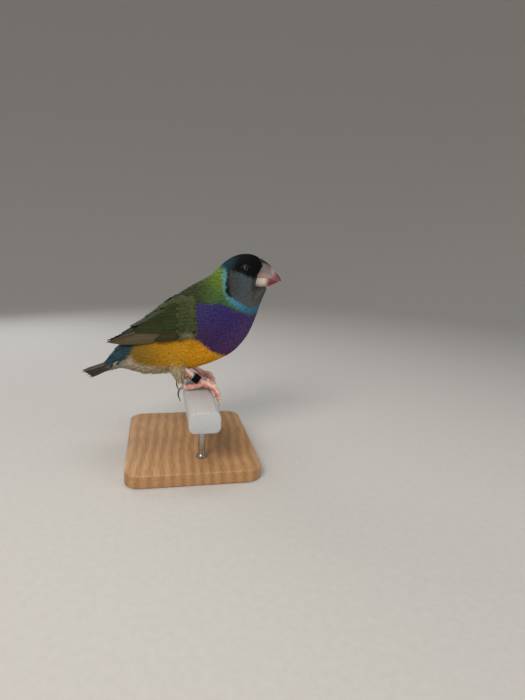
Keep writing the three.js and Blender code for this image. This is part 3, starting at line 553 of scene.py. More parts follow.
@dataclass
class Bench:
    """Where pieces are put together: the shared frame and the finishes already mixed."""

    perch_top: float
    materials: dict[str, Material] = field(default_factory=dict)

    def world(self, corners: Array) -> Array:
        """Turns millimetres from the perch's top into the frame's metres."""
        return (corners + np.array([0, 0, self.perch_top])) * MM

    def dress(self, piece: Object, finish: Any) -> None:
        """Gives a piece its finish.

        Args:
            piece: The Blender object.
            finish: One of the finishes.
        """
        if finish.name not in self.materials:
            self.materials[finish.name] = finish.material()
        piece.data.materials.clear()
        piece.data.materials.append(self.materials[finish.name])

    def mesh(self, name: str, lofts: Sequence[Loft], sharp: float = 40.0) -> Object:
        """Builds one Blender object from lofts.

        Args:
            name: The piece's name.
            lofts: Its closed skins.
            sharp: Edges bent more than this many degrees stay sharp.

        Returns:
            The object, linked to the scene.
        """
        mesh = bpy.data.meshes.new(name)
        quads, start = [], 0
        for loft in lofts:
            quads.append(loft.quads() + start)
            start += loft.corners[..., 0].size
        faces = np.concatenate(quads).astype(np.int32)
        corners = np.concatenate([self.world(loft.corners.reshape(-1, 3)) for loft in lofts])
        mesh.vertices.add(len(corners))
        mesh.vertices.foreach_set("co", corners.astype(np.float32).ravel())
        mesh.loops.add(faces.size)
        mesh.loops.foreach_set("vertex_index", faces.ravel())
        mesh.polygons.add(len(faces))
        mesh.polygons.foreach_set("loop_start", np.arange(0, faces.size, 4, dtype=np.int32))
        mesh.update(calc_edges=True)
        mesh.shade_smooth()
        mesh.set_sharp_from_angle(angle=math.radians(sharp))
        piece = bpy.data.objects.new(name, mesh)
        bpy.context.scene.collection.objects.link(piece)
        self.mark(piece, np.concatenate([loft.carried("colour", 3) for loft in lofts]))
        if any(loft.lie is not None for loft in lofts):
            lie = mesh.attributes.new("lie", "FLOAT_VECTOR", "POINT")
            values = np.concatenate([loft.carried("lie", 3) for loft in lofts])
            lie.data.foreach_set("vector", values.astype(np.float32).ravel())
        if any(loft.unwrap is not None for loft in lofts):
            places = np.concatenate([loft.carried("unwrap", 2) for loft in lofts])
            layer = mesh.uv_layers.new(name="OFBake")
            layer.uv.foreach_set("vector", places[faces.ravel()].astype(np.float32).ravel())
        return piece

    def mark(self, piece: Object, colours: Array) -> None:
        """Stores a colour on each corner of a mesh.

        Args:
            piece: The object.
            colours: Linear colours, one row a corner.
        """
        attribute = piece.data.attributes.new("marking", "FLOAT_COLOR", "POINT")
        full = np.ones((len(colours), 4), np.float32)
        full[:, :3] = np.clip(colours, 0, 1)
        attribute.data.foreach_set("color", full.ravel())

    def fuse(self, piece: Object, voxel_mm: float) -> Array:
        """Turns overlapping closed skins into one even closed skin.

        Args:
            piece: The object, whose mesh is replaced.
            voxel_mm: The size of its new faces.

        Returns:
            The new corners, in millimetres from the perch's top.
        """
        modifier = piece.modifiers.new("fuse", "REMESH")
        modifier.mode = "VOXEL"
        modifier.voxel_size = voxel_mm * MM
        modifier.adaptivity = 0.0
        graph = bpy.context.evaluated_depsgraph_get()
        fused = bpy.data.meshes.new_from_object(piece.evaluated_get(graph))
        piece.modifiers.clear()
        old = piece.data
        piece.data = fused
        fused.name = piece.name
        bpy.data.meshes.remove(old)
        for attribute in [a for a in fused.attributes if a.name in ("marking", "lie")]:
            fused.attributes.remove(attribute)
        fused.shade_smooth()
        places = np.empty(len(fused.vertices) * 3, np.float32)
        fused.vertices.foreach_get("co", places)
        return places.reshape(-1, 3).astype(float) / MM - np.array([0, 0, self.perch_top])

    def make(
        self, name: str, lofts: Sequence[Loft], sharp: float, finish: Any,
        replaces: Sequence[str] = ()
    ) -> None:
        """Builds a piece from lofts and delivers it.

        Args:
            name: The piece's name.
            lofts: Its closed skins.
            sharp: Edges bent more than this many degrees stay sharp.
            finish: Its finish.
            replaces: The CAD nodes it stands for.
        """
        self.deliver(self.mesh(name, lofts, sharp), finish, replaces)

    def deliver(self, piece: Object, finish: Any, replaces: Sequence[str] = ()) -> None:
        """Dresses a piece, puts it on the body and hides the CAD nodes it stands for.

        Args:
            piece: The finished object.
            finish: Its finish.
            replaces: The CAD nodes it stands for.
        """
        self.dress(piece, finish)
        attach(piece, BODY)
        if replaces:
            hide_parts(*replaces)
        LOG.info("%s: %d faces in %s", piece.name, len(piece.data.polygons), finish.name)


class Form:
    """A smooth surface of two parameters. The feathers lie towards falling u, and v runs across them."""

    step_u = 0.01
    step_v = 0.01
    sense = 1.0

    def point(self, u: Array, v: Array) -> Array:
        """Places on the surface, in millimetres."""
        raise NotImplementedError

    def unwrap(self, u: Array, v: Array) -> Array:
        """Places on the unwrap of the skin, from 0 to 1."""
        raise NotImplementedError

    def slopes(self, u: Array, v: Array) -> tuple[Array, Array]:
        """Change of place with u and with v.

        Args:
            u: First parameter.
            v: Second parameter.

        Returns:
            Two arrays of vectors.
        """
        du = (self.point(u + self.step_u, v) - self.point(u - self.step_u, v)) / (2 * self.step_u)
        dv = (self.point(u, v + self.step_v) - self.point(u, v - self.step_v)) / (2 * self.step_v)
        return du, dv

    def normal(self, u: Array, v: Array) -> Array:
        """Unit vectors that point out of the surface."""
        du, dv = self.slopes(u, v)
        return unit(np.cross(du, dv)) * self.sense

    def over(self, u: Array, v: Array, height: Array) -> Array:
        """Places at a height over the surface."""
        return self.point(u, v) + self.normal(u, v) * np.asarray(height)[..., None]

    def lay(
        self,
        root: Array,
        turn: Array,
        across: Array,
        ahead: Array,
        height: Array,
    ) -> Array:
        """Lays flat shapes on the surface.

        Args:
            root: Parameters of each shape's root, shaped pieces, 2.
            turn: How far each is turned from the lie, in radians.
            across: Millimetres to the side of the root, shaped pieces, rows, ring.
            ahead: Millimetres along the lie.
            height: Millimetres over the surface.

        Returns:
            Places of the corners.
        """
        du, dv = self.slopes(root[:, 0], root[:, 1])
        lie = -unit(du)
        out = unit(np.cross(du, dv))
        side = np.cross(out, lie)
        c, s = np.cos(turn)[:, None], np.sin(turn)[:, None]
        lie, side = lie * c + side * s, side * c - lie * s
        uu, uv, vv = (du * du).sum(-1), (du * dv).sum(-1), (dv * dv).sum(-1)
        gram = uu * vv - uv * uv

        def parameters(direction: Array) -> tuple[Array, Array]:
            """Change of u and v for a millimetre along a direction."""
            a, b = (du * direction).sum(-1), (dv * direction).sum(-1)
            return (vv * a - uv * b) / gram, (uu * b - uv * a) / gram

        lie_u, lie_v = parameters(lie)
        side_u, side_v = parameters(side)
        wide = (slice(None), None, None)
        u = root[:, 0][wide] + lie_u[wide] * ahead + side_u[wide] * across
        v = root[:, 1][wide] + lie_v[wide] * ahead + side_v[wide] * across
        return self.over(u, v, height)


@dataclass
class BodyForm(Form):
    """The bird's body from the tail's root to the face.

    u counts cross-sections from the tail, and v is the angle from the back, over the left side, to the belly.
    """

    # top of the section x and z, low point x and z, half width
    sections: Rows = (
        (-54.5, 13.5, -53.4, 10.1, 2.7),
        (-50.2, 18.9, -48.6, 11.1, 4.3),
        (-45.8, 24.4, -43.7, 12.2, 6.2),
        (-40.0, 29.8, -37.2, 10.5, 8.8),
        (-33.0, 35.9, -29.5, 9.0, 11.7),
        (-25.5, 41.9, -19.6, 9.2, 14.6),
        (-16.3, 51.2, -8.6, 10.4, 17.5),
        (-6.5, 58.1, 2.5, 13.2, 19.3),
        (2.0, 62.9, 12.5, 17.0, 19.9),
        (6.3, 65.5, 21.0, 21.9, 18.9),
        (10.4, 69.0, 28.6, 30.7, 16.6),
        (14.6, 73.2, 33.4, 41.0, 13.6),
        (18.8, 76.2, 36.0, 49.0, 11.5),
        (23.0, 78.0, 37.3, 52.4, 10.6),
        (27.3, 78.6, 38.3, 55.0, 10.0),
        (31.0, 78.3, 39.3, 57.2, 8.9),
        (34.0, 77.2, 39.7, 58.6, 7.2),
        (35.8, 75.8, 39.0, 60.3, 5.2),
    )
    # swellings of the head's sides: x, z, reach, millimetres out
    swellings: Rows = (
        (22.5, 61.0, 5.0, 0.45),
        (26.0, 74.6, 2.6, 0.35),
        (25.6, 70.4, 2.9, -0.75),
        (31.5, 69.5, 2.8, -0.6),
        (30.5, 63.5, 3.0, 0.35),
    )
    # where the feathers end at the bill: z and x of the border
    bill_line: Rows = (
        (58, 32.9), (61.3, 32.6), (64.1, 32.7), (65.9, 33.1), (67.5, 33.8), (71.2, 36.1), (73, 37.2), (77, 40)
    )
    bill_reach: Pair = (59.1, 76.4)
    mouth_z: float = 65.4
    bill_over: float = 10.9
    bill_under: float = 6.3
    face_run: float = 3.4  # how far behind the border the face starts to draw in
    tucked: float = 0.7  # how deep it goes inside the bill ahead of the border
    chin_share: float = 0.7  # half width of the chin under the bill, as a share of the bill's
    chin_slope: float = 0.95  # how much it widens for each millimetre down
    chin_x: Pair = (29, 34)
    bill_half: Rows = ((28, 5.9), (32, 5.8), (34.5, 5.5), (37.5, 4.9), (41, 3.9), (46, 1.6))

    @property
    def last(self) -> float:
        """The number of the last section."""
        return len(self.sections) - 1.0

    def point(self, u: Array, v: Array) -> Array:
        """Places on the body, on sections blended along a Catmull-Rom curve.

        Args:
            u: Sections counted from the tail.
            v: Angle from the back.

        Returns:
            Places in millimetres.
        """
        table = np.array(self.sections, float)
        last = len(table) - 1
        i = np.clip(np.floor(u).astype(int), 0, last - 1)
        a, b, c, d = (table[np.clip(i + k, 0, last)] for k in (-1, 0, 1, 2))
        w = (u - i)[..., None]
        row = 0.5 * (2 * b + (c - a) * w + (2 * a - 5 * b + 4 * c - d) * w * w + (3 * b - a - 3 * c + d) * w**3)
        up = (1 + np.cos(v)) / 2
        x = row[..., 2] + (row[..., 0] - row[..., 2]) * up
        z = row[..., 3] + (row[..., 1] - row[..., 3]) * up
        y = row[..., 4] * np.sin(v)
        for cx, cz, reach, out in self.swellings:
            near = np.exp(-((x - cx) ** 2 + (z - cz) ** 2) / reach**2)
            y = y + np.sign(np.sin(v)) * out * near * np.abs(np.sin(v)) ** 0.5
        return np.stack([x, self.drawn_in(x, y, z), z], -1)

    def past_bill(self, x: Array, z: Array) -> Array:
        """Millimetres that places lie ahead of the feathers' border at the bill."""
        return x - along(self.bill_line, z)

    def drawn_in(self, x: Array, y: Array, z: Array) -> Array:
        """Draws the face in to the bill's sides, and inside the bill ahead of its border.

        Args:
            x: Along the bird.
            y: Distance from the midline.
            z: Up.

        Returns:
            The changed y.
        """
        ahead = self.past_bill(x, z)
        low, high = self.bill_reach
        level = smooth(low, low + 0.9, z) * (1 - smooth(high - 1.6, high, z))
        # the bill's section: one curve over the mouth line and one under it
        over = np.clip((z - self.mouth_z) / self.bill_over, 0, 1) ** 2.33
        under = np.clip((self.mouth_z - z) / self.bill_under, 0, 1) ** 2.86
        side = along(self.bill_half, x) * np.sqrt(np.clip(1 - over - under, 0.02, 1))
        goal = side + 0.1 - self.tucked * smooth(-0.1, 0.9, ahead)
        share = smooth(-self.face_run, 0.0, ahead) * level
        chin = self.chin_share * along(self.bill_half, x) + self.chin_slope * np.clip(low + 0.9 - z, 0, 14)
        under_bill = smooth(*self.chin_x, x) * (1 - level)
        wide = np.abs(y)
        wide = wide + (np.minimum(wide, chin) - wide) * under_bill
        return np.sign(y) * np.minimum(wide, wide + (goal - wide) * share)

    def unwrap(self, u: Array, v: Array) -> Array:
        """Places on the unwrap: the body takes the lower nine tenths."""
        return np.stack([0.01 + 0.98 * np.mod(v / (2 * np.pi), 1), 0.01 + 0.88 * (u + 1) / (self.last + 1)], -1)


@dataclass
class WingForm(Form):
    """The hull of the folded right wing. u is x, and v is millimetres up from the lower edge.

    Each section is a quarter ellipse from the wing's lower edge up to the midline.
    """

    # x, height of the top, height of the lower edge, half width
    hull: Rows = (
        (2, 62.6, 35.2, 20.3),
        (-7, 58.0, 32.9, 20.1),
        (-15, 52.9, 31.0, 18.8),
        (-20, 49.3, 30.2, 17.4),
        (-26, 44.3, 29.5, 15.3),
        (-33, 39.8, 28.9, 12.6),
        (-39, 36.2, 28.3, 10.3),
        (-45, 32.7, 27.9, 8.1),
        (-49.5, 29.9, 27.6, 6.4),
        (-52.5, 28.4, 27.3, 5.4),
    )
    # x, and how many millimetres up the hull the wing reaches there
    reach_rows: Rows = (
        (-3, 22), (-9, 25.5), (-16, 26.4), (-22, 25.5), (-28, 22), (-33, 17.4), (-39, 12), (-45, 6.6),
         (-50, 2.4),
        (-52, 0.6)
    )
    span: Pair = (-52.0, 2.0)
    covered: Pair = (-50.0, -4.5)
    step_u = 0.4
    step_v = 0.4
    arcs = 24

    def size(self, x: Array, column: int) -> Array:
        """One of the hull's sizes at x."""
        return along([(row[0], row[column]) for row in self.hull], x)

    def walked(self, x: Array) -> tuple[Array, Array, Array, Array]:
        """The section's arc at each x.

        Args:
            x: Places along the bird.

        Returns:
            The arc's distances out, its heights, the length walked to each, and the lower edge's height.
        """
        low = self.size(x, 2)
        tall = self.size(x, 1) - low
        angle = np.arange(int(self.arcs * 1.5) + 1) / self.arcs * np.pi / 2
        y = self.size(x, 3)[..., None] * np.cos(angle)
        z = tall[..., None] * np.sin(angle)
        pieces = np.hypot(np.diff(y, axis=-1), np.diff(z, axis=-1))
        return y, z, np.concatenate([np.zeros_like(y[..., :1]), np.cumsum(pieces, -1)], -1), low

    def point(self, u: Array, v: Array) -> Array:
        """Places on the right wing's hull.

        Args:
            u: Places along the bird.
            v: Millimetres up from the lower edge.

        Returns:
            Places in millimetres.
        """
        u, v = np.broadcast_arrays(u, v)
        shape = u.shape
        x, q = u.ravel().astype(float), v.ravel().astype(float)
        y, z, walked, low = self.walked(x)
        i = np.clip((walked <= np.maximum(q, 0)[:, None]).sum(1) - 1, 0, walked.shape[1] - 2)
        n = np.arange(len(x))
        share = (np.maximum(q, 0) - walked[n, i]) / (walked[n, i + 1] - walked[n, i])
        out = y[n, i] + (y[n, i + 1] - y[n, i]) * share
        up = z[n, i] + (z[n, i + 1] - z[n, i]) * share
        return np.stack([x, -out, low + up + np.minimum(q, 0)], -1).reshape(*shape, 3)

    def reach(self, x: Array) -> Array:
        """How far up the hull the wing reaches at x."""
        length = self.walked(np.asarray(x, float))[2][..., self.arcs]
        return np.minimum(along(self.reach_rows, x), length - 0.7)

    def covers(self, points: Array, margin: float) -> Array:
        """Whether places lie under a folded wing.

        Args:
            points: Places on the body.
            margin: Millimetres kept clear of the wing's edges.

        Returns:
            True where the wing lies over the place.
        """
        x = points[:, 0]
        y, z, walked, low = self.walked(np.clip(x, *self.span))
        tall, half = z[:, self.arcs], y[:, 0]
        angle = np.arctan2((points[:, 2] - low) / tall, np.abs(points[:, 1]) / half)
        place = np.clip(angle / (np.pi / 2) * self.arcs, 0, self.arcs)
        i = np.clip(place.astype(int), 0, self.arcs - 1)
        n = np.arange(len(x))
        q = walked[n, i] + (walked[n, i + 1] - walked[n, i]) * (place - i)
        inside = (points[:, 2] > low + margin) & (q < self.reach(np.clip(x, *self.span)) - margin - 1)
        back, front = self.covered
        return inside & (x < front - margin) & (x > back)

    def unwrap(self, u: Array, v: Array) -> Array:
        """Places on the unwrap of the wing's hull."""
        return np.stack([0.02 + 0.96 * (u + 56) / 62, 0.02 + 0.9 * np.clip(v + 2, 0, 42) / 42], -1)


@dataclass
class ThighForm(Form):
    """A feathered thigh: a tapering tube. u rises from its tip to its top, and v is the angle round it."""

    side: Side
    step: float
    path: Rows = ((-12.6, 21.0), (-12.0, 12.5), (-10.6, 5.6))
    radii: Rows = ((0, 5.2), (0.5, 4.2), (1, 1.3))
    depth: float = 9.2
    sense = -1.0

    def point(self, u: Array, v: Array) -> Array:
        """Places on the thigh.

        Args:
            u: Share of its length from the tip up.
            v: Angle round it.

        Returns:
            Places in millimetres.
        """
        s = np.clip(1 - u, -0.2, 1.15)
        line = np.array(self.path)
        a, b, c = line[0], line[1], line[2]
        w = s[..., None]
        middle = a * (1 - w) * (1 - 2 * w) + b * 4 * w * (1 - w) + c * w * (2 * w - 1)
        r = np.maximum(along(self.radii, np.clip(s, 0, 1)), 0.3)
        x = middle[..., 0] + self.step * 0.6 + r * np.cos(v)
        y = self.side.value * (self.depth + r * np.sin(v))
        return np.stack([x, y, middle[..., 1]], -1)

    def normal(self, u: Array, v: Array) -> Array:
        """Unit vectors that point out of the thigh."""
        flat = np.stack([np.cos(v), self.side.value * np.sin(v), np.zeros_like(v) - 0.25], -1)
        return unit(flat)

    def unwrap(self, u: Array, v: Array) -> Array:
        """Places on the unwrap: the thighs take its top strip."""
        start = 0.03 if self.side is Side.RIGHT else 0.53
        return np.stack([start + 0.44 * np.mod(v / (2 * np.pi), 1), 0.92 + 0.06 * np.clip(u, 0, 1)], -1)


@dataclass(frozen=True)
class Patch:
    """One field of colour on the coat.

    Attributes:
        tract: The kind of plumage.
        outline: Its outline in the side view, x and z in millimetres; it reaches through the body.
        tones: Its colours, each as x, z, how far it reaches, and a hex colour.
        edge: How wide the soft border is, in millimetres.
    """

    tract: Tract
    outline: Rows
    tones: Sequence[tuple[float, float, float, str]]
    edge: float = 0.9

    def depth(self, x: Array, z: Array) -> Array:
        """How deep places are inside the outline.

        Args:
            x: Along the bird.
            z: Up.

        Returns:
            Millimetres, negative outside.
        """
        line = np.array(self.outline, float)
        best = np.full(x.shape, 1e9)
        inside = np.zeros(x.shape, bool)
        for (ax, az), (bx, bz) in zip(line, np.roll(line, -1, 0)):
            ex, ez = bx - ax, bz - az
            s = np.clip(((x - ax) * ex + (z - az) * ez) / (ex * ex + ez * ez), 0, 1)
            best = np.minimum(best, np.hypot(x - ax - s * ex, z - az - s * ez))
            crosses = (az > z) != (bz > z)
            inside ^= crosses & (x < ax + (z - az) * ex / (ez if ez else 1e-9))
        return np.where(inside, best, -best)

    def colour(self, x: Array, z: Array) -> Array:
        """The field's own colour at places, blended from its tones."""
        total, weights = np.zeros((*x.shape, 3)), np.full(x.shape, 1e-9)
        for tx, tz, reach, code in self.tones:
            weight = np.exp(-((x - tx) ** 2 + (z - tz) ** 2) / (2 * reach**2)) + 1e-7
            total += weight[..., None] * linear(code)
            weights += weight
        return total / weights[..., None]


@dataclass
class Plumage:
    """The bird's markings, shared by skin and coat: patches painted one over another, some of whose tones hold
    painted light and shade.
    """

    patches: Sequence[Patch] = (
        Patch(
            Tract.GREEN,
            ((-90, -90), (90, -90), (90, 120), (-90, 120)),
            (
                # painted light and shade: the nape's greens are light as in sun, the mantle's and back's olive dark
                # as in shade
                (11, 68, 3.5, "678226"),
                (9, 62, 4, "5E7A24"),
                (10, 55, 4, "446438"),
                (3, 59, 4, "3A4A1A"),
                (-4, 56, 6, "2C3613"),
                (-25, 42, 10, "2B3413"),
                (-40, 32, 8, "233A2A"),
            ),
        ),
        Patch(
            Tract.YELLOW,
            ((-50, 29), (-30, 31), (-8, 34.5), (-3.5, 34.5), (4, 40), (60, 40), (60, -5), (-50, -5)),
            (
                (8, 22, 6, "F3AD13"),
                (-4, 22, 8, "E6A212"),
                (-14, 18, 5, "CA9B2C"),
                (-20, 26, 7, "BC8714"),
                (-32, 24, 7, "80651A"),
                # painted shadow: darker ochre yellow just under the wing's lower edge
                (-4, 31, 3, "A87612"),
            ),
            edge=1.2,
        ),
        Patch(
            Tract.WHITE,
            ((-60, 16), (-45, 17), (-38, 20), (-36, 16.5), (-30, 15.5), (-22, 14.6), (-14, 15.6), (-9, 14.5),
             (-6.0, 11.5), (-5, -8), (-60, -8)),
            (
                (-10, 8, 6, "B5A886"),
                (-30, 11, 8, "BBAE90"),
                (-45, 13, 6, "A09B93"),
            ),
            edge=2.2,
        ),
        Patch(
            Tract.TEAL,
            ((-35.5, 40), (-36.5, 30), (-37.5, 23), (-41, 19), (-44, 16), (-60, 12.5), (-80, 12),
             (-80, 60), (-36, 60)),
            (
                (-40, 26, 4, "2A414B"),
                (-46, 20, 4, "223744"),
                (-54, 14, 4, "1B2A33"),
            ),
            edge=1.0,
        ),
        Patch(
            Tract.PURPLE,
            ((-3.8, 33.5), (-3.1, 40.5), (-2.3, 49), (-0.9, 51.3), (9.9, 51.5), (14.5, 50.3), (19.2, 47.7),
             (28.6, 44.5), (40, 44), (60, 44), (60, 5), (22, 10), (17.5, 18.6), (12.7, 21.2),
              (6.8, 24.2), (0.9, 29)),
            (
                (4, 48, 5, "332C66"),
                (16, 44, 6, "38296A"),
                (8, 36, 6, "3D2A60"),
                (26, 34, 6, "5C4278"),
                (16, 24, 5, "60386C"),
                (2, 33, 4, "442B54"),
            ),
            edge=0.7,
        ),
        Patch(
            Tract.TURQUOISE,
            ((12.4, 78), (13.0, 68), (12.8, 62), (12.9, 58.2), (14.6, 54), (17.9, 50.6), (22.5, 47.8),
             (27.8, 45.2),
             (33, 44.8), (40, 45.3), (60, 45.6), (60, 95), (13.4, 95)),
            (
                (13.5, 68, 2.5, "5E979C"),
                (13, 62, 4, "5C9C9C"),
                # painted shade: the band's top over the nape is dark teal, as if shaded
                (14.5, 75, 3.2, "1D424D"),
                (19, 51, 3, "4A8EA4"),
                (30, 47, 5, "3C7E98"),
            ),
            edge=1.3,
        ),
        Patch(
            Tract.BLACK,
            ((17.0, 78), (15.4, 69), (14.2, 63.7), (13.9, 58.1), (15.0, 55.9), (18.6, 54.5), (23.1, 51.8),
             (27.9, 49.3), (33.1, 49.7), (37.5, 50.2), (60, 50), (60, 95), (18, 95)),
            ((26, 72, 8, "060606"), (22, 60, 8, "0B0C0D")),
            edge=0.6,
        ),
        # painted shade: dark teal over the back of the crown, the turquoise band as if in shade
        Patch(
            Tract.BLACK,
            ((13.0, 70.5), (16.8, 69.8), (19.5, 73), (22.5, 77), (22.5, 84), (13, 84)),
            ((16, 74, 3, "1B3C45"), (20, 78, 3, "122429")),
            edge=2.0,
        ),
        # painted light: the black cheeks and throat are painted slate grey, as black feathers look in sun under a
        # shaded crown
        Patch(
            Tract.BLACK,
            ((16.6, 69.5), (19.5, 68.9), (22.2, 68.0), (24.5, 67.0), (27.8, 66.1), (31.3, 65.0),
             (60, 64), (60, 49.4),
             (33, 48.9), (28, 48.8), (23.4, 51.4), (19, 54.3), (16.4, 56.8), (15.5, 63)),
            ((18, 62, 3, "403E3B"), (26, 60, 5, "48535A"), (30, 54, 5, "636560"), (36, 58, 4, "4A4641")),
            edge=1.0,
        ),
    )
    wobble: float = 0.35

    def read(self, points: Array) -> tuple[Array, Array]:
        """Reads the markings.

        Args:
            points: Places on the body, in millimetres, along the last axis.

        Returns:
            The linear colours, and the number of the tract of each place.
        """
        x, z = points[..., 0], points[..., 2]
        colour = np.zeros((*x.shape, 3))
        tract = np.zeros(x.shape, int)
        for patch in self.patches:
            depth = patch.depth(x, z)
            colour = mixed(colour, patch.colour(x, z), smooth(-patch.edge, patch.edge, depth))
            tract[depth > 0] = patch.tract.value
        return colour, tract

    def paint(self, corners: Array, rng: Rng) -> Array:
        """Colours feathers corner by corner, each read a little to the side, as two kinds mingle at a border.

        Args:
            corners: Corners of the feathers, one feather along the first axis.
            rng: Random numbers.

        Returns:
            Linear colours.
        """
        stray = rng.normal(0, self.wobble, (len(corners), 1, 1, 3))
        return self.read(corners + stray)[0]


@dataclass(frozen=True)
class FeatherCut:
    """The outline of one kind of feather: corners across it and rows along it."""

    across: Sequence[float]
    below: Sequence[float]
    rows: int
    root: float = 0.5
    taper: float = 0.6
    pointed: bool = False

    @property
    def ring(self) -> Array:
        """Places across the feather of one ring's corners, over it and back under it."""
        return np.array([*self.across, *reversed(self.below)])

    @property
    def top(self) -> Array:
        """1 for corners of the upper face and 0 for the lower."""
        return np.array([1.0] * len(self.across) + [0.0] * len(self.below))

    @property
    def shares(self) -> Array:
        """Rows along the feather, closer together towards the tip."""
        return np.sin(np.linspace(0, 1, self.rows) * np.pi / 2)

    def half(self) -> Array:
        """Half width at each row, as a share of the widest.

        Returns:
            One share a row.
        """
        s = self.shares
        root = np.minimum(1, self.root + s * 2.4)
        u = np.clip((s - self.taper) / (1 - self.taper), 0, 1)
        tip = (1 - u) ** 0.8 if self.pointed else np.sqrt(1 - u * u)
        return root * np.maximum(tip, 0.08)


SMALL_CUT = FeatherCut((-1, -0.66, -0.33, 0, 0.33, 0.66, 1), (0,), 5, root=0.55, taper=0.4)
COVERT_CUT = FeatherCut((-1, -0.66, -0.33, 0, 0.33, 0.66, 1), (-0.5, 0, 0.5), 9, taper=0.6)
FLIGHT_CUT = FeatherCut(
    (-1, -0.75, -0.5, -0.3, -0.2, -0.1, 0.1, 0.4, 0.7, 1), (-0.6, -0.2, 0.2, 0.6), 20, taper=0.72
)
PRIMARY_CUT = FeatherCut(FLIGHT_CUT.across, FLIGHT_CUT.below, 22, taper=0.62)
TAIL_CUT = FeatherCut(FLIGHT_CUT.across, FLIGHT_CUT.below, 24, taper=0.8)


def scatter(
    form: Form,
    spacing: Callable[[Array, Array], Array],
    rng: Rng,
    tries: int,
    u_range: Pair,
    v_range: Pair,
) -> Array:
    """Spreads roots evenly over a form, each clear of the others by its own spacing.

    Args:
        form: The surface.
        spacing: The spacing in millimetres for parameters.
        rng: Random numbers.
        tries: How many places are tried.
        u_range: Lowest and highest first parameter.
        v_range: Lowest and highest second parameter.

    Returns:
        The roots' parameters.
    """
    u = rng.uniform(*u_range, tries)
    v = rng.uniform(*v_range, tries)
    du, dv = form.slopes(u, v)
    gap = spacing(u, v)
    weight = np.linalg.norm(np.cross(du, dv), axis=-1) / gap**2
    kept = rng.random(tries) < weight / np.quantile(weight, 0.98)
    u, v, gap = u[kept], v[kept], gap[kept]
    places = form.point(u, v)
    cell = float(gap.max())
    cells = np.floor(places / cell).astype(int)
    grid: dict[tuple[int, int, int], list[int]] = {}
    near = [(i, j, k) for i in (-1, 0, 1) for j in (-1, 0, 1) for k in (-1, 0, 1)]
    listed, bounds = places.tolist(), (gap * gap).tolist()
    chosen = []
    for n, (a, b, c) in enumerate(cells.tolist()):
        x, y, z = listed[n]
        clear = True
        for i, j, k in near:
            for m in grid.get((a + i, b + j, c + k), ()):
                p = listed[m]
                if (p[0] - x) ** 2 + (p[1] - y) ** 2 + (p[2] - z) ** 2 < bounds[n]:
                    clear = False
                    break
            if not clear:
                break
        if clear:
            grid.setdefault((a, b, c), []).append(n)
            chosen.append(n)
    return np.stack([u[chosen], v[chosen]], -1)


@dataclass
class FeatherBed:
    """Small feathers laid close on a form, each a thin closed vane with a ragged tip."""

    cut: FeatherCut = SMALL_CUT
    patch_uv: float = 0.003
    thickness: float = 0.07
    worn: Pair = (-0.2, 0.03)  # how far tips fall short or run over, as a share of the length
    sweep: float = 0.12  # how far a tip curves to one side, as a share of the length
    camber: float = 0.06  # how far the edges bend down, as a share of the width

    def loft(
        self,
        form: Form,
        root: Array,
        length: Array,
        width: Array,
        low: Array,
        high: Array,
        colour: Array | Callable[[Array, Rng], Array],
        rng: Rng,
        turn: float = 0.1,
    ) -> Loft:
        """Lays one feather at each root.

        Args:
            form: The surface they lie on.
            root: The roots' parameters.
            length: Lengths in millimetres.
            width: Widths in millimetres.
            low: Height of each root over the form.
            high: Height of each tip.
            colour: Linear colour of each, or what reads it from the corners.
            rng: Random numbers.
            turn: How far they stray from the lie, in radians.

        Returns:
            The loft.
        """
        count, ring = len(root), self.cut.ring
        s = self.cut.shares[None, :, None]
        c = ring[None, None, :]
        top = self.cut.top[None, None, :]
        wide = (slice(None), None, None)
        half = self.cut.half()[None, :, None] * width[wide] / 2
        ragged = rng.uniform(*self.worn, (count, 1, len(ring))) * s**4
        ahead = (s + ragged) * length[wide]
        across = c * half + self.sweep * length[wide] * rng.normal(0, 0.5, count)[wide] * s**2
        lift = low[wide] + (high - low)[wide] * s**0.8
        camber = -self.camber * width[wide] * c**2
        body = self.thickness * (1 - np.abs(c) * top) * (0.3 + 0.7 * (1 - s))
        height = lift + camber + np.where(top > 0, body, -body)
        height = np.broadcast_to(height, across.shape)
        corners = form.lay(root, rng.normal(0, turn, count), across, np.broadcast_to(ahead, across.shape), height)
        own = rng.random(count)
        # painted shade: each feather is darker towards its root, where the feather over it covers it
        shade = (0.9 + 0.1 * s) * np.ones_like(across)
        painted = colour(corners, rng) if callable(colour) else colour[:, None, None, :]
        lie = stacked(across, ahead, own[wide])
        home = form.unwrap(root[:, 0], root[:, 1])[:, None, None, :]
        spread = stacked(c * 0.5, s - 0.5 + 0 * across) * self.patch_uv
        return Loft(corners, painted * shade[..., None], lie, home + spread)


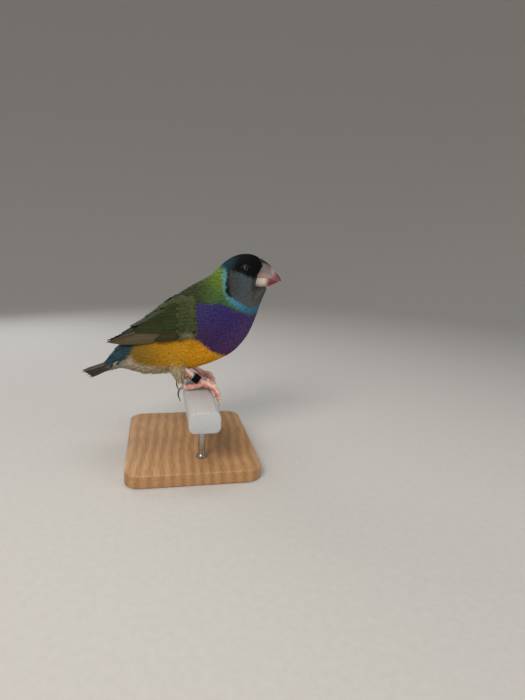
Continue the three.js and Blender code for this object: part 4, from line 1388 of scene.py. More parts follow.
@dataclass
class Skin:
    """The one closed skin under the coat, over body and thighs."""

    body: BodyForm
    wing: WingForm
    thighs: Sequence[ThighForm]
    plumage: Plumage
    depth: Rows = ((0, 0.5), (3, 0.9), (10, 0.9), (12, 0.5), (14, 0.3), (17, 0.25))
    under_wing: float = 2.3
    # painted shade: the skin under the coat is drawn darker than the feathers over it
    shaded: float = 0.75  # the skin is darker than the feathers over it
    rows: int = 150
    ring: int = 120
    voxel: float = 0.5

    def build(self, bench: Bench) -> None:
        """Builds the skin.

        Args:
            bench: Where it is put together.
        """
        u, v = np.meshgrid(np.linspace(0, self.body.last, self.rows), turns(self.ring), indexing="ij")
        places = self.body.point(u, v).reshape(-1, 3)
        hidden = self.wing.covers(places, 1.5).reshape(u.shape)  # 1.5 mm inside the wing's edges
        inset = along(self.depth, u) + self.under_wing * hidden
        lofts = [Loft(self.body.over(u, v, -inset)[None])]
        for thigh in self.thighs:
            tu, tv = np.meshgrid(np.linspace(0, 1, 30), turns(32), indexing="ij")
            lofts.append(Loft(thigh.over(tu, tv, -0.7 + 0.3 * (1 - tu))[None]))
        piece = bench.mesh("skin", lofts)
        corners = bench.fuse(piece, self.voxel)
        colour, _ = self.plumage.read(corners)
        bench.mark(piece, colour * self.shaded)
        nodes = ["head", "neck", "breast", "torso", "rump", "thigh_right", "thigh_left"]
        bench.deliver(piece, UNDERCOAT, nodes)


@dataclass
class Coat:
    """The small feathers of head, neck and body, one piece a tract, with plumes on vent and thighs."""

    body: BodyForm
    wing: WingForm
    thighs: Sequence[ThighForm]
    plumage: Plumage
    bed: FeatherBed = field(default_factory=FeatherBed)
    spacing: Rows = ((0, 1.0), (8, 0.86), (10, 0.76), (12, 0.6), (14, 0.47), (17, 0.4))
    length_share: float = 4.8
    width_share: float = 1.75
    low: Rows = ((0, -0.4), (3, -0.75), (10, -0.75), (12, -0.42), (14, -0.26), (17, -0.2))
    high: Rows = ((0, 0.2), (3, 0.08), (10, 0.08), (12, 0.05), (14, 0.04), (17, 0.03))
    tries: int = 420000
    bare_eye: Triple = (25.95, 70.4, 2.401)  # x, z and radius of the bare place round the eye
    bare_bill: Pair = (60.1, 75.4)
    plume: Pair = (4.6, 0.7)  # length and width of the thighs' plumes
    wisp: Pair = (5.0, 0.65)  # length and width of the belly's loose wisps
    wisp_x: Pair = (-30, -7)
    wisp_top: float = 13.2

    def gap(self, u: Array, v: Array) -> Array:
        """Spacing of the roots in millimetres, a little wider over the belly."""
        return along(self.spacing, u) * (1 + 0.12 * (1 - np.cos(v)) / 2)

    def roots(self, rng: Rng) -> Array:
        """Chooses the roots that show.

        Args:
            rng: Random numbers.

        Returns:
            Their parameters on the body.
        """
        root = scatter(self.body, self.gap, rng, self.tries, (0.1, self.body.last - 0.02), (0, 2 * np.pi))
        places = self.body.point(root[:, 0], root[:, 1])
        x, y, z = places.T
        hidden = self.wing.covers(places, 1.2)
        eye_x, eye_z, radius = self.bare_eye
        at_eye = np.hypot(x - eye_x, z - eye_z) < radius
        low, high = self.bare_bill
        at_bill = (self.body.past_bill(x, z) > 0.2) & (z > low) & (z < high)
        return root[~(hidden | (at_eye & (np.abs(y) > 5)) | at_bill)]

    def plumes(self, side: Side, rng: Rng) -> list[Loft]:
        """Longer loose plumes of a thigh and of the belly beside it.

        Args:
            side: The thigh's side.
            rng: Random numbers.

        Returns:
            The thigh's loft, and that of the loose wisps beside it on the belly.
        """
        thigh = next(thigh for thigh in self.thighs if thigh.side is side)
        root = scatter(thigh, lambda u, v: np.full_like(u, 0.55), rng, 16000, (0.12, 0.98), (0, 2 * np.pi))
        height = thigh.point(root[:, 0], root[:, 1])[:, 2]
        colour = mixed(linear("C2B494"), linear("C8952E"), smooth(15.5, 20.5, height))
        size = rng.uniform(0.85, 1.15, len(root))
        low, high = np.full(len(root), -0.6), 0.1 + 1.1 * rng.random(len(root)) ** 2
        length, width = self.plume
        plumes = self.bed.loft(thigh, root, length * size, width * size, low, high, colour, rng, 0.4)
        half_turn = (1.9, np.pi) if side is Side.LEFT else (np.pi, 4.4)
        root = scatter(self.body, lambda u, v: np.full_like(u, 0.7), rng, 14000, (3.2, 7.1), half_turn)
        x, _, z = self.body.point(root[:, 0], root[:, 1]).T
        root = root[(z < self.wisp_top) & (x > self.wisp_x[0]) & (x < self.wisp_x[1])]
        colour = np.broadcast_to(linear("C2B79A"), (len(root), 3))
        size = rng.uniform(0.7, 1.2, len(root))
        low, high = np.full(len(root), -0.5), 0.15 + 1.1 * rng.random(len(root)) ** 3
        length, width = self.wisp
        return [plumes, self.bed.loft(self.body, root, length * size, width * size, low, high, colour, rng, 0.35)]

    def build(self, bench: Bench, rng: Rng) -> None:
        """Builds every tract.

        Args:
            bench: Where the pieces are put together.
            rng: Random numbers.
        """
        root = self.roots(rng)
        places = self.body.point(root[:, 0], root[:, 1])
        lie = unit(self.body.slopes(root[:, 0], root[:, 1])[0])
        visible = places - lie * (self.length_share * 0.6 * self.gap(root[:, 0], root[:, 1]))[:, None]
        _, tract = self.plumage.read(visible)
        gap = self.gap(root[:, 0], root[:, 1]) * rng.uniform(0.85, 1.2, len(root))
        loose = tract == Tract.WHITE.value
        length = gap * self.length_share * np.where(loose, 1.35, 1)
        low = along(self.low, root[:, 0])
        high = along(self.high, root[:, 0]) + rng.uniform(-0.04, 0.05, len(root)) + 0.25 * loose
        left = root[:, 1] < np.pi
        for kind, side in [(kind, side) for kind in Tract for side in Side]:
            mine = (tract == kind.value) & (left == (side is Side.LEFT))
            if not mine.any():
                continue
            turn = 0.25 if kind is Tract.WHITE else 0.1
            width = gap[mine] * self.width_share
            laid = (root[mine], length[mine], width, low[mine], high[mine])
            lofts = [self.bed.loft(self.body, *laid, self.plumage.paint, rng, turn)]
            if kind is Tract.WHITE:
                lofts += self.plumes(side, rng)
            finish = {Tract.WHITE: LOOSE_PLUMES, Tract.BLACK: DARK_COAT}.get(kind, DOWN_COAT)
            bench.make(f"coat_{kind.name.lower()}_{side.word}", lofts, 60, finish)


@dataclass(frozen=True)
class Tier:
    """A tier of like feathers, from its lowest to its highest.

    Attributes:
        count: How many feathers.
        root: Parameters of the first root and the last.
        tips: Parameters of the tips, from which the others are read.
        width: Widths of the first and last, in millimetres.
        lift: Heights of root and tip over the hull.
        tilt: How far the upper edge lies under the lower.
        tones: Hex colours of the vane's middle, its edges and its tip.
    """

    count: int
    root: Rows
    tips: Rows
    width: Pair
    lift: Pair
    tilt: float
    tones: tuple[str, str, str]
    cut: FeatherCut = FLIGHT_CUT
    bow: float = 0.0


@dataclass
class Wing:
    """One folded wing: a thin core under tiers of flight feathers and coverts, with small front feathers."""

    side: Side
    form: WingForm
    plumage: Plumage
    thickness: float = 0.2
    arch: float = 0.12  # how far a vane's middle stands over its edges
    ridge: float = 0.1  # height of the shaft over the vane
    least_half: float = 0.12
    gathered: float = 0.5  # how far the tips draw in towards each other
    core: Rows = ((-3, -0.2), (-9, -0.4), (-16, -1.1), (-44, -1.0))
    # painted shade: the green tiers are dark olive, the wing's green as if in shade; the primaries' brown is their
    # own
    tiers: Sequence[Tier] = (
        Tier(
            8, ((-24, 1.9), (-21, 7.4)),
            ((-51.8, 0.75), (-50.6, 1.75), (-48.0, 2.75), (-44.8, 3.75), (-41.6, 4.75), (-38.4, 5.75)),
            (4.2, 4.2), (-1.0, -0.25), 0.6, ("463C2F", "6C6248", "28211A"), PRIMARY_CUT,
        ),
        Tier(
            7, ((-15.5, 6.6), (-15.5, 15.8)), ((-36.2, 7.6), (-33.4, 13.0)),
            (4.0, 4.2), (-1.0, -0.2), 0.6, ("292F16", "3A401F", "232515"),
        ),
        Tier(
            3, ((-15, 17.2), (-13.4, 21.6)), ((-38.6, 13.2), (-35.4, 15.6), (-31.2, 18.4)),
            (5.4, 6.2), (-0.9, -0.05), 0.5, ("283015", "353D1B", "232813"), bow=0.8,
        ),
        Tier(
            6, ((-7.5, 1.5), (-9, 6.0)), ((-25.2, 1.6), (-19.8, 5.95)),
            (2.7, 2.7), (-0.9, 0.05), 0.4, ("352F1F", "514A30", "261F16"), PRIMARY_CUT,
        ),
        Tier(
            9, ((-8.6, 6.6), (-7.1, 22.6)), ((-20.4, 7.2), (-20.9, 11), (-21.0, 14.8), (-20.3, 18.6),
             (-18.3, 22.45)),
            (3.9, 4.3), (-0.7, 0.3), 0.35, ("2A3216", "373F1C", "252B14"),
        ),
        Tier(
            8, ((-4.6, 5.6), (-4.6, 20.8)), ((-12.2, 5.6), (-11.4, 20.8)),
            (3.9, 4.1), (-0.6, 0.45), 0.25, ("363E20", "444C28", "31371E"),
        ),
    )

    def mirrored(self, corners: Array) -> Array:
        """Puts the right wing's corners on this wing's side, with its tip drawn in to the other's."""
        drawn = corners * np.array([1, -self.side.value, 1])
        drawn[..., 1] *= 1 - self.gathered * smooth(36, 54, -corners[..., 0])
        return drawn

    def core_loft(self) -> Loft:
        """The thin closed core that the feathers lie on.

        Returns:
            The loft.
        """
        x = np.linspace(-3.4, -44, 40)
        q = 0.5 + (self.form.reach(x) - 1)[:, None] * np.linspace(0, 1, 24)
        u = np.broadcast_to(x[:, None], q.shape)
        top = along(self.core, x)[:, None] + 0 * q
        over = self.form.over(u, q, top)
        under = self.form.over(u, q, top - 1.0)
        corners = self.mirrored(np.concatenate([over, under[:, ::-1]], 1))[None]
        return Loft(corners, linear("23281A"), None, np.zeros(2))

    def tier_loft(self, tier: Tier, cells: Array, rng: Rng) -> Loft:
        """Lays one tier.

        Args:
            tier: The tier.
            cells: The first corner of each feather's own cell on the unwrap, and the cell's size.
            rng: Random numbers.

        Returns:
            The loft.
        """
        share = np.linspace(0, 1, tier.count)
        ends = np.array(tier.root, float)
        root = ends[0] + (ends[-1] - ends[0]) * share[:, None]
        tips = np.array(tier.tips, float)
        at = share * (len(tips) - 1)
        tip = np.stack([np.interp(at, np.arange(len(tips)), tips[:, k]) for k in (0, 1)], -1)
        ahead = unit(tip - root)
        side = np.stack([ahead[:, 1], -ahead[:, 0]], -1)
        side *= np.where(side[:, 1:] < 0, -1, 1)
        stray = rng.uniform(-0.2, 0.2, tier.count)
        wide = (slice(None), None, None)
        s = tier.cut.shares[None, :, None]
        c = tier.cut.ring[None, None, :]
        top = tier.cut.top[None, None, :]
        width = np.interp(share, [0, 1], tier.width)
        half = np.maximum(tier.cut.half()[None, :, None] * width[wide] / 2, self.least_half)
        ragged = rng.uniform(-0.02, 0.006, (tier.count, 1, c.shape[-1])) * s**6
        run = s + ragged
        out = tier.bow * np.sin(np.pi * s) + c * half
        u = root[:, 0][wide] + (tip - root)[:, 0][wide] * run + side[:, 0][wide] * out
        u = u + ahead[:, 0][wide] * stray[wide] * s
        v = root[:, 1][wide] + (tip - root)[:, 1][wide] * run + side[:, 1][wide] * out
        rise = tier.lift[0] + (tier.lift[1] - tier.lift[0]) * np.minimum(1, s * 1.6)
        ridge = self.ridge * rachis(c) * (1 - 0.6 * s)
        height = rise - tier.tilt * (c + 1) / 2 + (self.arch * (1 - c * c) + ridge) * top
        height = height - self.thickness * (1 - top)
        height = np.broadcast_to(height, u.shape)
        corners = self.mirrored(self.form.over(u, v, height))
        middle, edge, end = (linear(code) for code in tier.tones)
        rim = smooth(0.62, 0.95, np.abs(c)) * np.ones_like(u)
        close = smooth(0.86, 1.0, s) * np.ones_like(u)
        colour = mixed(mixed(middle, edge, rim * 0.8), end, close * 0.35)
        shaft = rachis(c, 0.08) * np.ones_like(u)
        colour = mixed(colour, middle * 0.55, shaft * 0.7) * rng.uniform(0.9, 1.1, tier.count)[wide][..., None]
        length = np.linalg.norm(tip - root, axis=-1)
        lie = stacked(c * half + 0.2 * half, s * length[wide], rng.random(tier.count)[wide])
        local = stacked((c + 1) / 2, s + 0 * u)
        unwrap = cells[:, None, None, :2] + local * cells[:, None, None, 2:] * 0.9
        return Loft(corners, colour, lie, unwrap)

    def small(self, bed: FeatherBed, rng: Rng) -> Loft:
        """The small coverts at the wing's front and the shoulder feathers along its upper edge.

        Args:
            bed: How small feathers are laid.
            rng: Random numbers.

        Returns:
            The loft.
        """
        root = scatter(self.form, lambda u, v: np.full_like(u, 1.15), rng, 24000, (-33, -1.6), (0.8, 31))
        x, q = root.T
        reach = self.form.reach(x)
        front = (x > -9.5) & (q < reach + 1)
        shoulder = (q > reach - 3.2) & (q < reach + 1.5) & (x > -27)
        root = root[front | shoulder]
        x, q = root.T
        size = rng.uniform(0.9, 1.15, len(root))
        low, high = np.full(len(root), -0.75), 0.45 + 0.08 * rng.random(len(root))

        def green(corners: Array, _: Rng) -> Array:
            """The mantle's green, read without the belly's colours, with a greyer lower front corner."""
            x, z = corners[..., 0], corners[..., 2]
            corner = np.exp(-(((x + 7.5) / 3) ** 2 + ((z - 34) / 2.2) ** 2))
            # the green patch's tones carry painted shade on the mantle, lightened here by half
            olive = mixed(self.plumage.patches[0].colour(x, z) * 1.5, linear("545838"), np.full(x.shape, 0.3))
            return mixed(olive, linear("857C6C"), corner * 0.75)

        loft = bed.loft(self.form, root, 4.4 * size, 2.4 * size, low, high, green, rng)
        loft.corners = self.mirrored(loft.corners)
        return loft

    def build(self, bench: Bench, bed: FeatherBed, rng: Rng) -> None:
        """Builds both pieces of the wing.

        Args:
            bench: Where the pieces are put together.
            bed: How small feathers are laid.
            rng: Random numbers.
        """
        word = self.side.word
        lofts, done, columns = [self.core_loft()], 0, 7
        for tier in self.tiers:
            number = done + np.arange(tier.count)
            cell = np.stack([number % columns, number // columns], -1) / columns
            cells = np.concatenate([0.02 + cell * 0.96, np.full((tier.count, 2), 0.96 / columns)], -1)
            lofts.append(self.tier_loft(tier, cells, rng))
            done += tier.count
        bench.make(f"flight_feathers_{word}", lofts, 50, FLIGHT_VANES, [f"wing_{word}"])
        bench.make(f"small_coverts_{word}", [self.small(bed, rng)], 60, DOWN_COAT)


@dataclass
class Tail:
    """The twelve tail feathers in pairs, with the coverts over and under their roots."""

    body: BodyForm
    pairs: int = 6
    root: Triple = (-42.5, 0.7, 18.6)
    bend: Triple = (-54.0, 1.1, 14.3)
    tip: Triple = (-64.6, 0.9, 10.8)
    step: Triple = (0.85, 0.42, -0.62)
    width: float = 5.0
    thickness: float = 0.22
    length: float = 20.0
    arch: float = 0.15
    ridge: float = 0.1
    least_half: float = 0.15
    cut: FeatherCut = TAIL_CUT
    frays: int = 14
    barb: Pair = (0.09, 0.05)  # half width and half height of a loose barb

    def feather(self, pair: int, side: int, cell: Sequence[float], rng: Rng) -> list[Loft]:
        """One tail feather with its frayed tip.

        Args:
            pair: Its pair, 0 for the central one.
            side: The sign of its y.
            cell: Its own cell on the unwrap: first corner and size.
            rng: Random numbers.

        Returns:
            The vane, and its loose tip barbs.
        """
        stray = rng.uniform(-1, 1, 3) * (0.25, 0.12, 0.06)

        def at(base: Sequence[float], share: float) -> list[float]:
            """A point of the feather's shaft."""
            x, y, z = np.array(base) + np.array(self.step) * pair * share
            return [x + stray[0] * share, side * y + stray[1], z + stray[2]]

        s = self.cut.shares
        shaft, ahead = follow([at(self.root, 0.25), at(self.bend, 0.7), at(self.tip, 1)], s)
        beside = unit(np.array([0, side, -0.18]))
        up = unit(np.cross(ahead, beside))
        up *= np.where(up[:, 2:] < 0, -1, 1)
        c = self.cut.ring[None, :]
        top = self.cut.top[None, :]
        half = np.maximum(self.cut.half()[:, None] * self.width / 2, self.least_half)
        ragged = rng.uniform(-0.9, 0.2, c.shape) * s[:, None] ** 8
        height = (self.arch * (1 - c * c) + self.ridge * rachis(c)) * top - self.thickness * (1 - top)
        corners = shaft[:, None] + beside * (c * half)[..., None]
        corners = corners + up[:, None] * height[..., None] + ahead[:, None] * ragged[..., None]
        tone = mixed(linear("524D48"), linear("7E756C"), smooth(0.7, 1.0, np.abs(c)) * np.ones_like(height) * 0.5)
        tone = mixed(tone, linear("6E6863"), (1 - top) * np.ones_like(height) * 0.8)
        lie = stacked(c * half, self.length * s[:, None], rng.random())
        unwrap = np.array(cell[:2]) + stacked((c + 1) / 2, s[:, None]) * np.array(cell[2:]) * 0.9
        vane = Loft(corners[None], tone[None], lie[None], unwrap[None])
        start = rng.uniform(0.8, 0.97, self.frays)
        where = np.interp(start, s, np.arange(len(s))).astype(int)
        off = rng.uniform(-1, 1, self.frays) * np.interp(start, s, half[:, 0])
        reach = rng.uniform(1.2, 3.2, self.frays)
        f = np.linspace(0, 1, 4)[None, :, None]
        ring = np.array([[-1, 0], [0, 1], [1, 0], [0, -1]]) * self.barb
        base = shaft[where] + beside * off[:, None]
        rise = up[where] * rng.uniform(-0.5, 0.25, self.frays)[:, None]
        drift = ahead[where] * reach[:, None] + beside * (off * 0.25)[:, None] + rise
        thin = (1 - 0.8 * f)[..., None]
        barbs = base[:, None, None] + drift[:, None, None] * f[..., None]
        barbs = barbs + ring[:, :1] * beside * thin + ring[:, 1:] * np.array([0, 0, 1.0]) * thin
        fray = Loft(barbs, linear("4A4541"), np.zeros(3), np.array(cell[:2]))
        return [vane, fray]

    def coverts(self, rng: Rng) -> list[Loft]:
        """Rows of coverts over and under the tail's root.

        Args:
            rng: Random numbers.

        Returns:
            The lofts.
        """
        bed = FeatherBed(COVERT_CUT, thickness=0.1)
        lofts = []
        for u, count, middle, spread, length, width in (
            (2.5, 9, 0, 1.9, 6.5, 3.4),
            (1.8, 7, 0, 1.7, 6.4, 3.3),
            (1.05, 6, 0, 1.3, 6.6, 3.0),
            (0.5, 5, 0, 0.9, 6.8, 2.7),
            (2.3, 6, np.pi, 1.1, 6.2, 3.6),
            (1.6, 5, np.pi, 0.95, 6.4, 3.5),
            (0.9, 4, np.pi, 0.7, 6.4, 3.0),
        ):
            v = middle + np.linspace(-spread, spread, count) + rng.normal(0, 0.04, count)
            root = np.stack([u + rng.normal(0, 0.06, count), v], -1)
            tones = ("2A4852", "1C2E3A") if middle == 0 else ("9C968C", "7D7873")
            colour = mixed(linear(tones[0]), linear(tones[1]), np.full(count, 1 - u / 2.5))
            low, high = np.full(count, -0.3), np.full(count, 0.4)
            size = rng.uniform(0.92, 1.08, count)
            lofts.append(bed.loft(self.body, root, length * size, width * size, low, high, colour, rng, 0.05))
        return lofts

    def build(self, bench: Bench, rng: Rng) -> None:
        """Builds the tail.

        Args:
            bench: Where the pieces are put together.
            rng: Random numbers.
        """
        lofts = []
        for pair in range(self.pairs):
            for side in (1, -1):
                cell = (0.02 + 0.16 * pair, 0.02 if side > 0 else 0.5, 0.14, 0.45)
                lofts += self.feather(pair, side, cell, rng)
        bench.make("tail_feathers_pairs", lofts, 50, FLIGHT_VANES, ["tail"])
        bench.make("tail_covert_rows", self.coverts(rng), 60, DOWN_COAT)


@dataclass
class Bill:
    """The conical seed-eater's bill in its two halves, with nostrils and the dark ridge of the culmen."""

    culmen: Rows = (
        (30, 74.5), (34, 76.2), (36.2, 76.15), (39.9, 74.0), (42.4, 71.9), (43.3, 70.9), (44.3, 69.3),
         (46, 67.8),
        (47.9, 65.6), (48.6, 64.3)
    )
    mouth: Rows = ((30, 65.6), (34.5, 65.5), (38.5, 65.3), (42.6, 64.8), (45.4, 64.0), (47.4, 63.4),
        (48.6, 63.2))
    gonys: Rows = ((30, 60.0), (33, 59.4), (37, 59.3), (41, 60.0), (44.4, 61.5), (46.8, 62.6))
    half: Rows = ((30, 5.6), (33, 5.7), (37.5, 4.95), (41, 3.9), (44, 2.7), (46.5, 1.5), (48, 0.75),
        (48.6, 0.4))
    black_from: Rows = ((34, 0.66), (36.5, 0.74), (40, 0.85), (43.6, 0.94))
    start: float = 30.2
    least_half: float = 0.25
    least_tall: float = 0.3
    lower_share: float = 0.95  # the lower half is a little narrower and closes inside the upper
    fullness: Pair = (0.7, 0.86)  # how full the sections of the lower and the upper half are
    nostril: Triple = (36.6, 73.0, 0.8)  # x, z and radius
    nostril_deep: float = 0.22
    ridge_end: float = 43.6

    def shell(self, upper: bool) -> Loft:
        """One half of the bill.

        Args:
            upper: Whether it is the upper one.

        Returns:
            The loft.
        """
        ridge = self.culmen if upper else self.gonys
        x = self.start + (ridge[-1][0] - self.start) * np.sin(np.linspace(0, 1, 56) * np.pi / 2)
        half = np.maximum(along(self.half, x), self.least_half) * (1 if upper else self.lower_share)
        mouth = along(self.mouth, x) + (0.04 if upper else -0.1)
        line = along(ridge, x)
        above, below = mouth + self.least_tall, mouth - self.least_tall
        edge = np.maximum(line, above) if upper else np.minimum(line, below)
        a = np.linspace(0, np.pi, 40)
        tuck = 1 - 0.05 * (1 - np.sin(a)) ** 3
        z = mouth[:, None] + (edge - mouth)[:, None] * np.sin(a) ** self.fullness[upper]
        corners = stacked(x[:, None], half[:, None] * np.cos(a) * tuck, z)
        return Loft(self.pitted(corners)[None], self.colour(corners, upper, edge, mouth)[None])

    def at_nostril(self, x: Array, z: Array, sharp: float = 1.0) -> Array:
        """How near places are to the nostril, from 0 to 1."""
        nx, nz, r = self.nostril
        return np.exp(-(((x - nx) / r) ** 2 + ((z - nz) / (r * 0.8)) ** 2) * sharp)

    def pitted(self, corners: Array) -> Array:
        """Presses the nostrils into the bill's sides.

        Args:
            corners: Places on the bill.

        Returns:
            The changed places.
        """
        corners = corners.copy()
        corners[..., 1] *= 1 - self.nostril_deep * self.at_nostril(corners[..., 0], corners[..., 2])
        return corners

    def colour(self, corners: Array, upper: bool, edge: Array, mouth: Array) -> Array:
        """Paints the bill: pearl at the base of the lower half and red to the tip, with a dark ridge; the upper
        half carries painted shade, grey pink darkening towards its top, a painted pale highlight before the tip and
        painted shade round the nostrils.

        Args:
            corners: Places on the bill.
            upper: Whether it is the upper half.
            edge: Height of the culmen or gonys at each row.
            mouth: Height of the mouth line at each row.

        Returns:
            Linear colours.
        """
        x, z = corners[..., 0], corners[..., 2]
        up = np.abs(z - mouth[:, None]) / np.maximum(np.abs(edge - mouth), 0.1)[:, None]
        if upper:
            # painted shade: the upper half is a shaded grey pink, darker towards its top
            base = mixed(linear("A88A78"), linear("756460"), smooth(0.12, 0.4, up))
            # painted highlight: a paler pearl band high on the upper half before the tip
            base = mixed(base, linear("C9B2AC"), smooth(41, 43.8, x) * smooth(0.15, 0.5, up))
            red = smooth(42.4, 46.6, x + 1.8 * (1 - up))
            tone = mixed(base, linear("80182A"), red * 0.95)
            tone = mixed(tone, linear("741B22"), smooth(46.4, 48.4, x) * 0.8)
            start = along(self.black_from, x)
            ridge = smooth(0, 0.06, up - start) * (1 - smooth(self.ridge_end - 0.5, self.ridge_end, x))
            tone = mixed(tone, linear("100D0D"), ridge)
            # painted shade: darker round the nostril pit
            return mixed(tone, linear("4A3A38"), self.at_nostril(x, z, 1.4) * 0.7)
        base = mixed(linear("E2D0C4"), linear("DAC8BA"), smooth(0.3, 0.9, up))
        tone = mixed(base, linear("7C0F1B"), smooth(37.4, 41.6, x + 0.9 * (0.5 - np.abs(up - 0.5))))
        return mixed(tone, linear("6E141A"), smooth(44.6, 46.8, x) * 0.7)

    def build(self, bench: Bench) -> None:
        """Builds both halves.

        Args:
            bench: Where the pieces are put together.
        """
        for name, upper in (("upper", True), ("lower", False)):
            bench.make(f"bill_{name}_horn", [self.shell(upper)], 50, BILL_HORN, [f"bill_{name}"])


@dataclass
class Eye:
    """One eye with its two lids."""

    side: Side
    centre: Triple = (25.6, 7.7, 70.4)
    radius: float = 2.45
    cornea: float = 0.05  # how far the cornea bulges, as a share of the radius
    lid_reach: float = 2.32
    lid_out: float = 1.2
    lid_thick: float = 0.24
    beads: int = 38

    def ball(self) -> Loft:
        """The eyeball with a slightly raised cornea.

        Returns:
            The loft.
        """
        polar = np.linspace(0.02, np.pi - 0.02, 40)
        turn = turns(56)
        r = self.radius * (1 + self.cornea * np.exp(-((polar / 0.5) ** 2)))
        x = self.centre[0] + (r * np.sin(polar))[:, None] * np.cos(turn)
        z = self.centre[2] + (r * np.sin(polar))[:, None] * np.sin(turn)
        y = self.side.value * (self.centre[1] + (r * np.cos(polar))[:, None])
        tone = mixed(linear("020202"), linear("0C0705"), smooth(0.42, 0.6, polar))[:, None]
        return Loft(stacked(x, y, z)[None], tone[None])

    def lids(self) -> Loft:
        """The lid ring: an almond-shaped rim with fine beads, thicker above.

        Returns:
            The loft.
        """
        turn, ring = turns(120), turns(12)
        beads = 1 + 0.1 * np.abs(np.sin(turn * self.beads / 2))
        thick = (self.lid_thick + 0.07 * np.maximum(np.sin(turn), 0)) * beads
        reach = self.lid_reach * (1 + 0.1 * np.abs(np.cos(turn)) ** 4)
        r = reach[:, None] + thick[:, None] * np.cos(ring)
        x = self.centre[0] + r * np.cos(turn)[:, None]
        z = self.centre[2] + r * np.sin(turn)[:, None] * 0.94
        y = self.side.value * (self.centre[1] + self.lid_out + 0.75 * thick[:, None] * np.sin(ring))
        tone = mixed(linear("222426"), linear("0A0A0C"), (0.5 - 0.5 * np.cos(ring))[None, :] * np.ones_like(r))
        return Loft(stacked(x, y, z)[None], tone[None], joined=True)

    def build(self, bench: Bench) -> None:
        """Builds the eye and its lids.

        Args:
            bench: Where the pieces are put together.
        """
        word = self.side.word
        bench.make(f"eyeball_{word}", [self.ball()], 60, WET_EYE, [f"eye_{word}"])
        bench.make(f"eyelids_{word}", [self.lids()], 60, LID_SKIN)


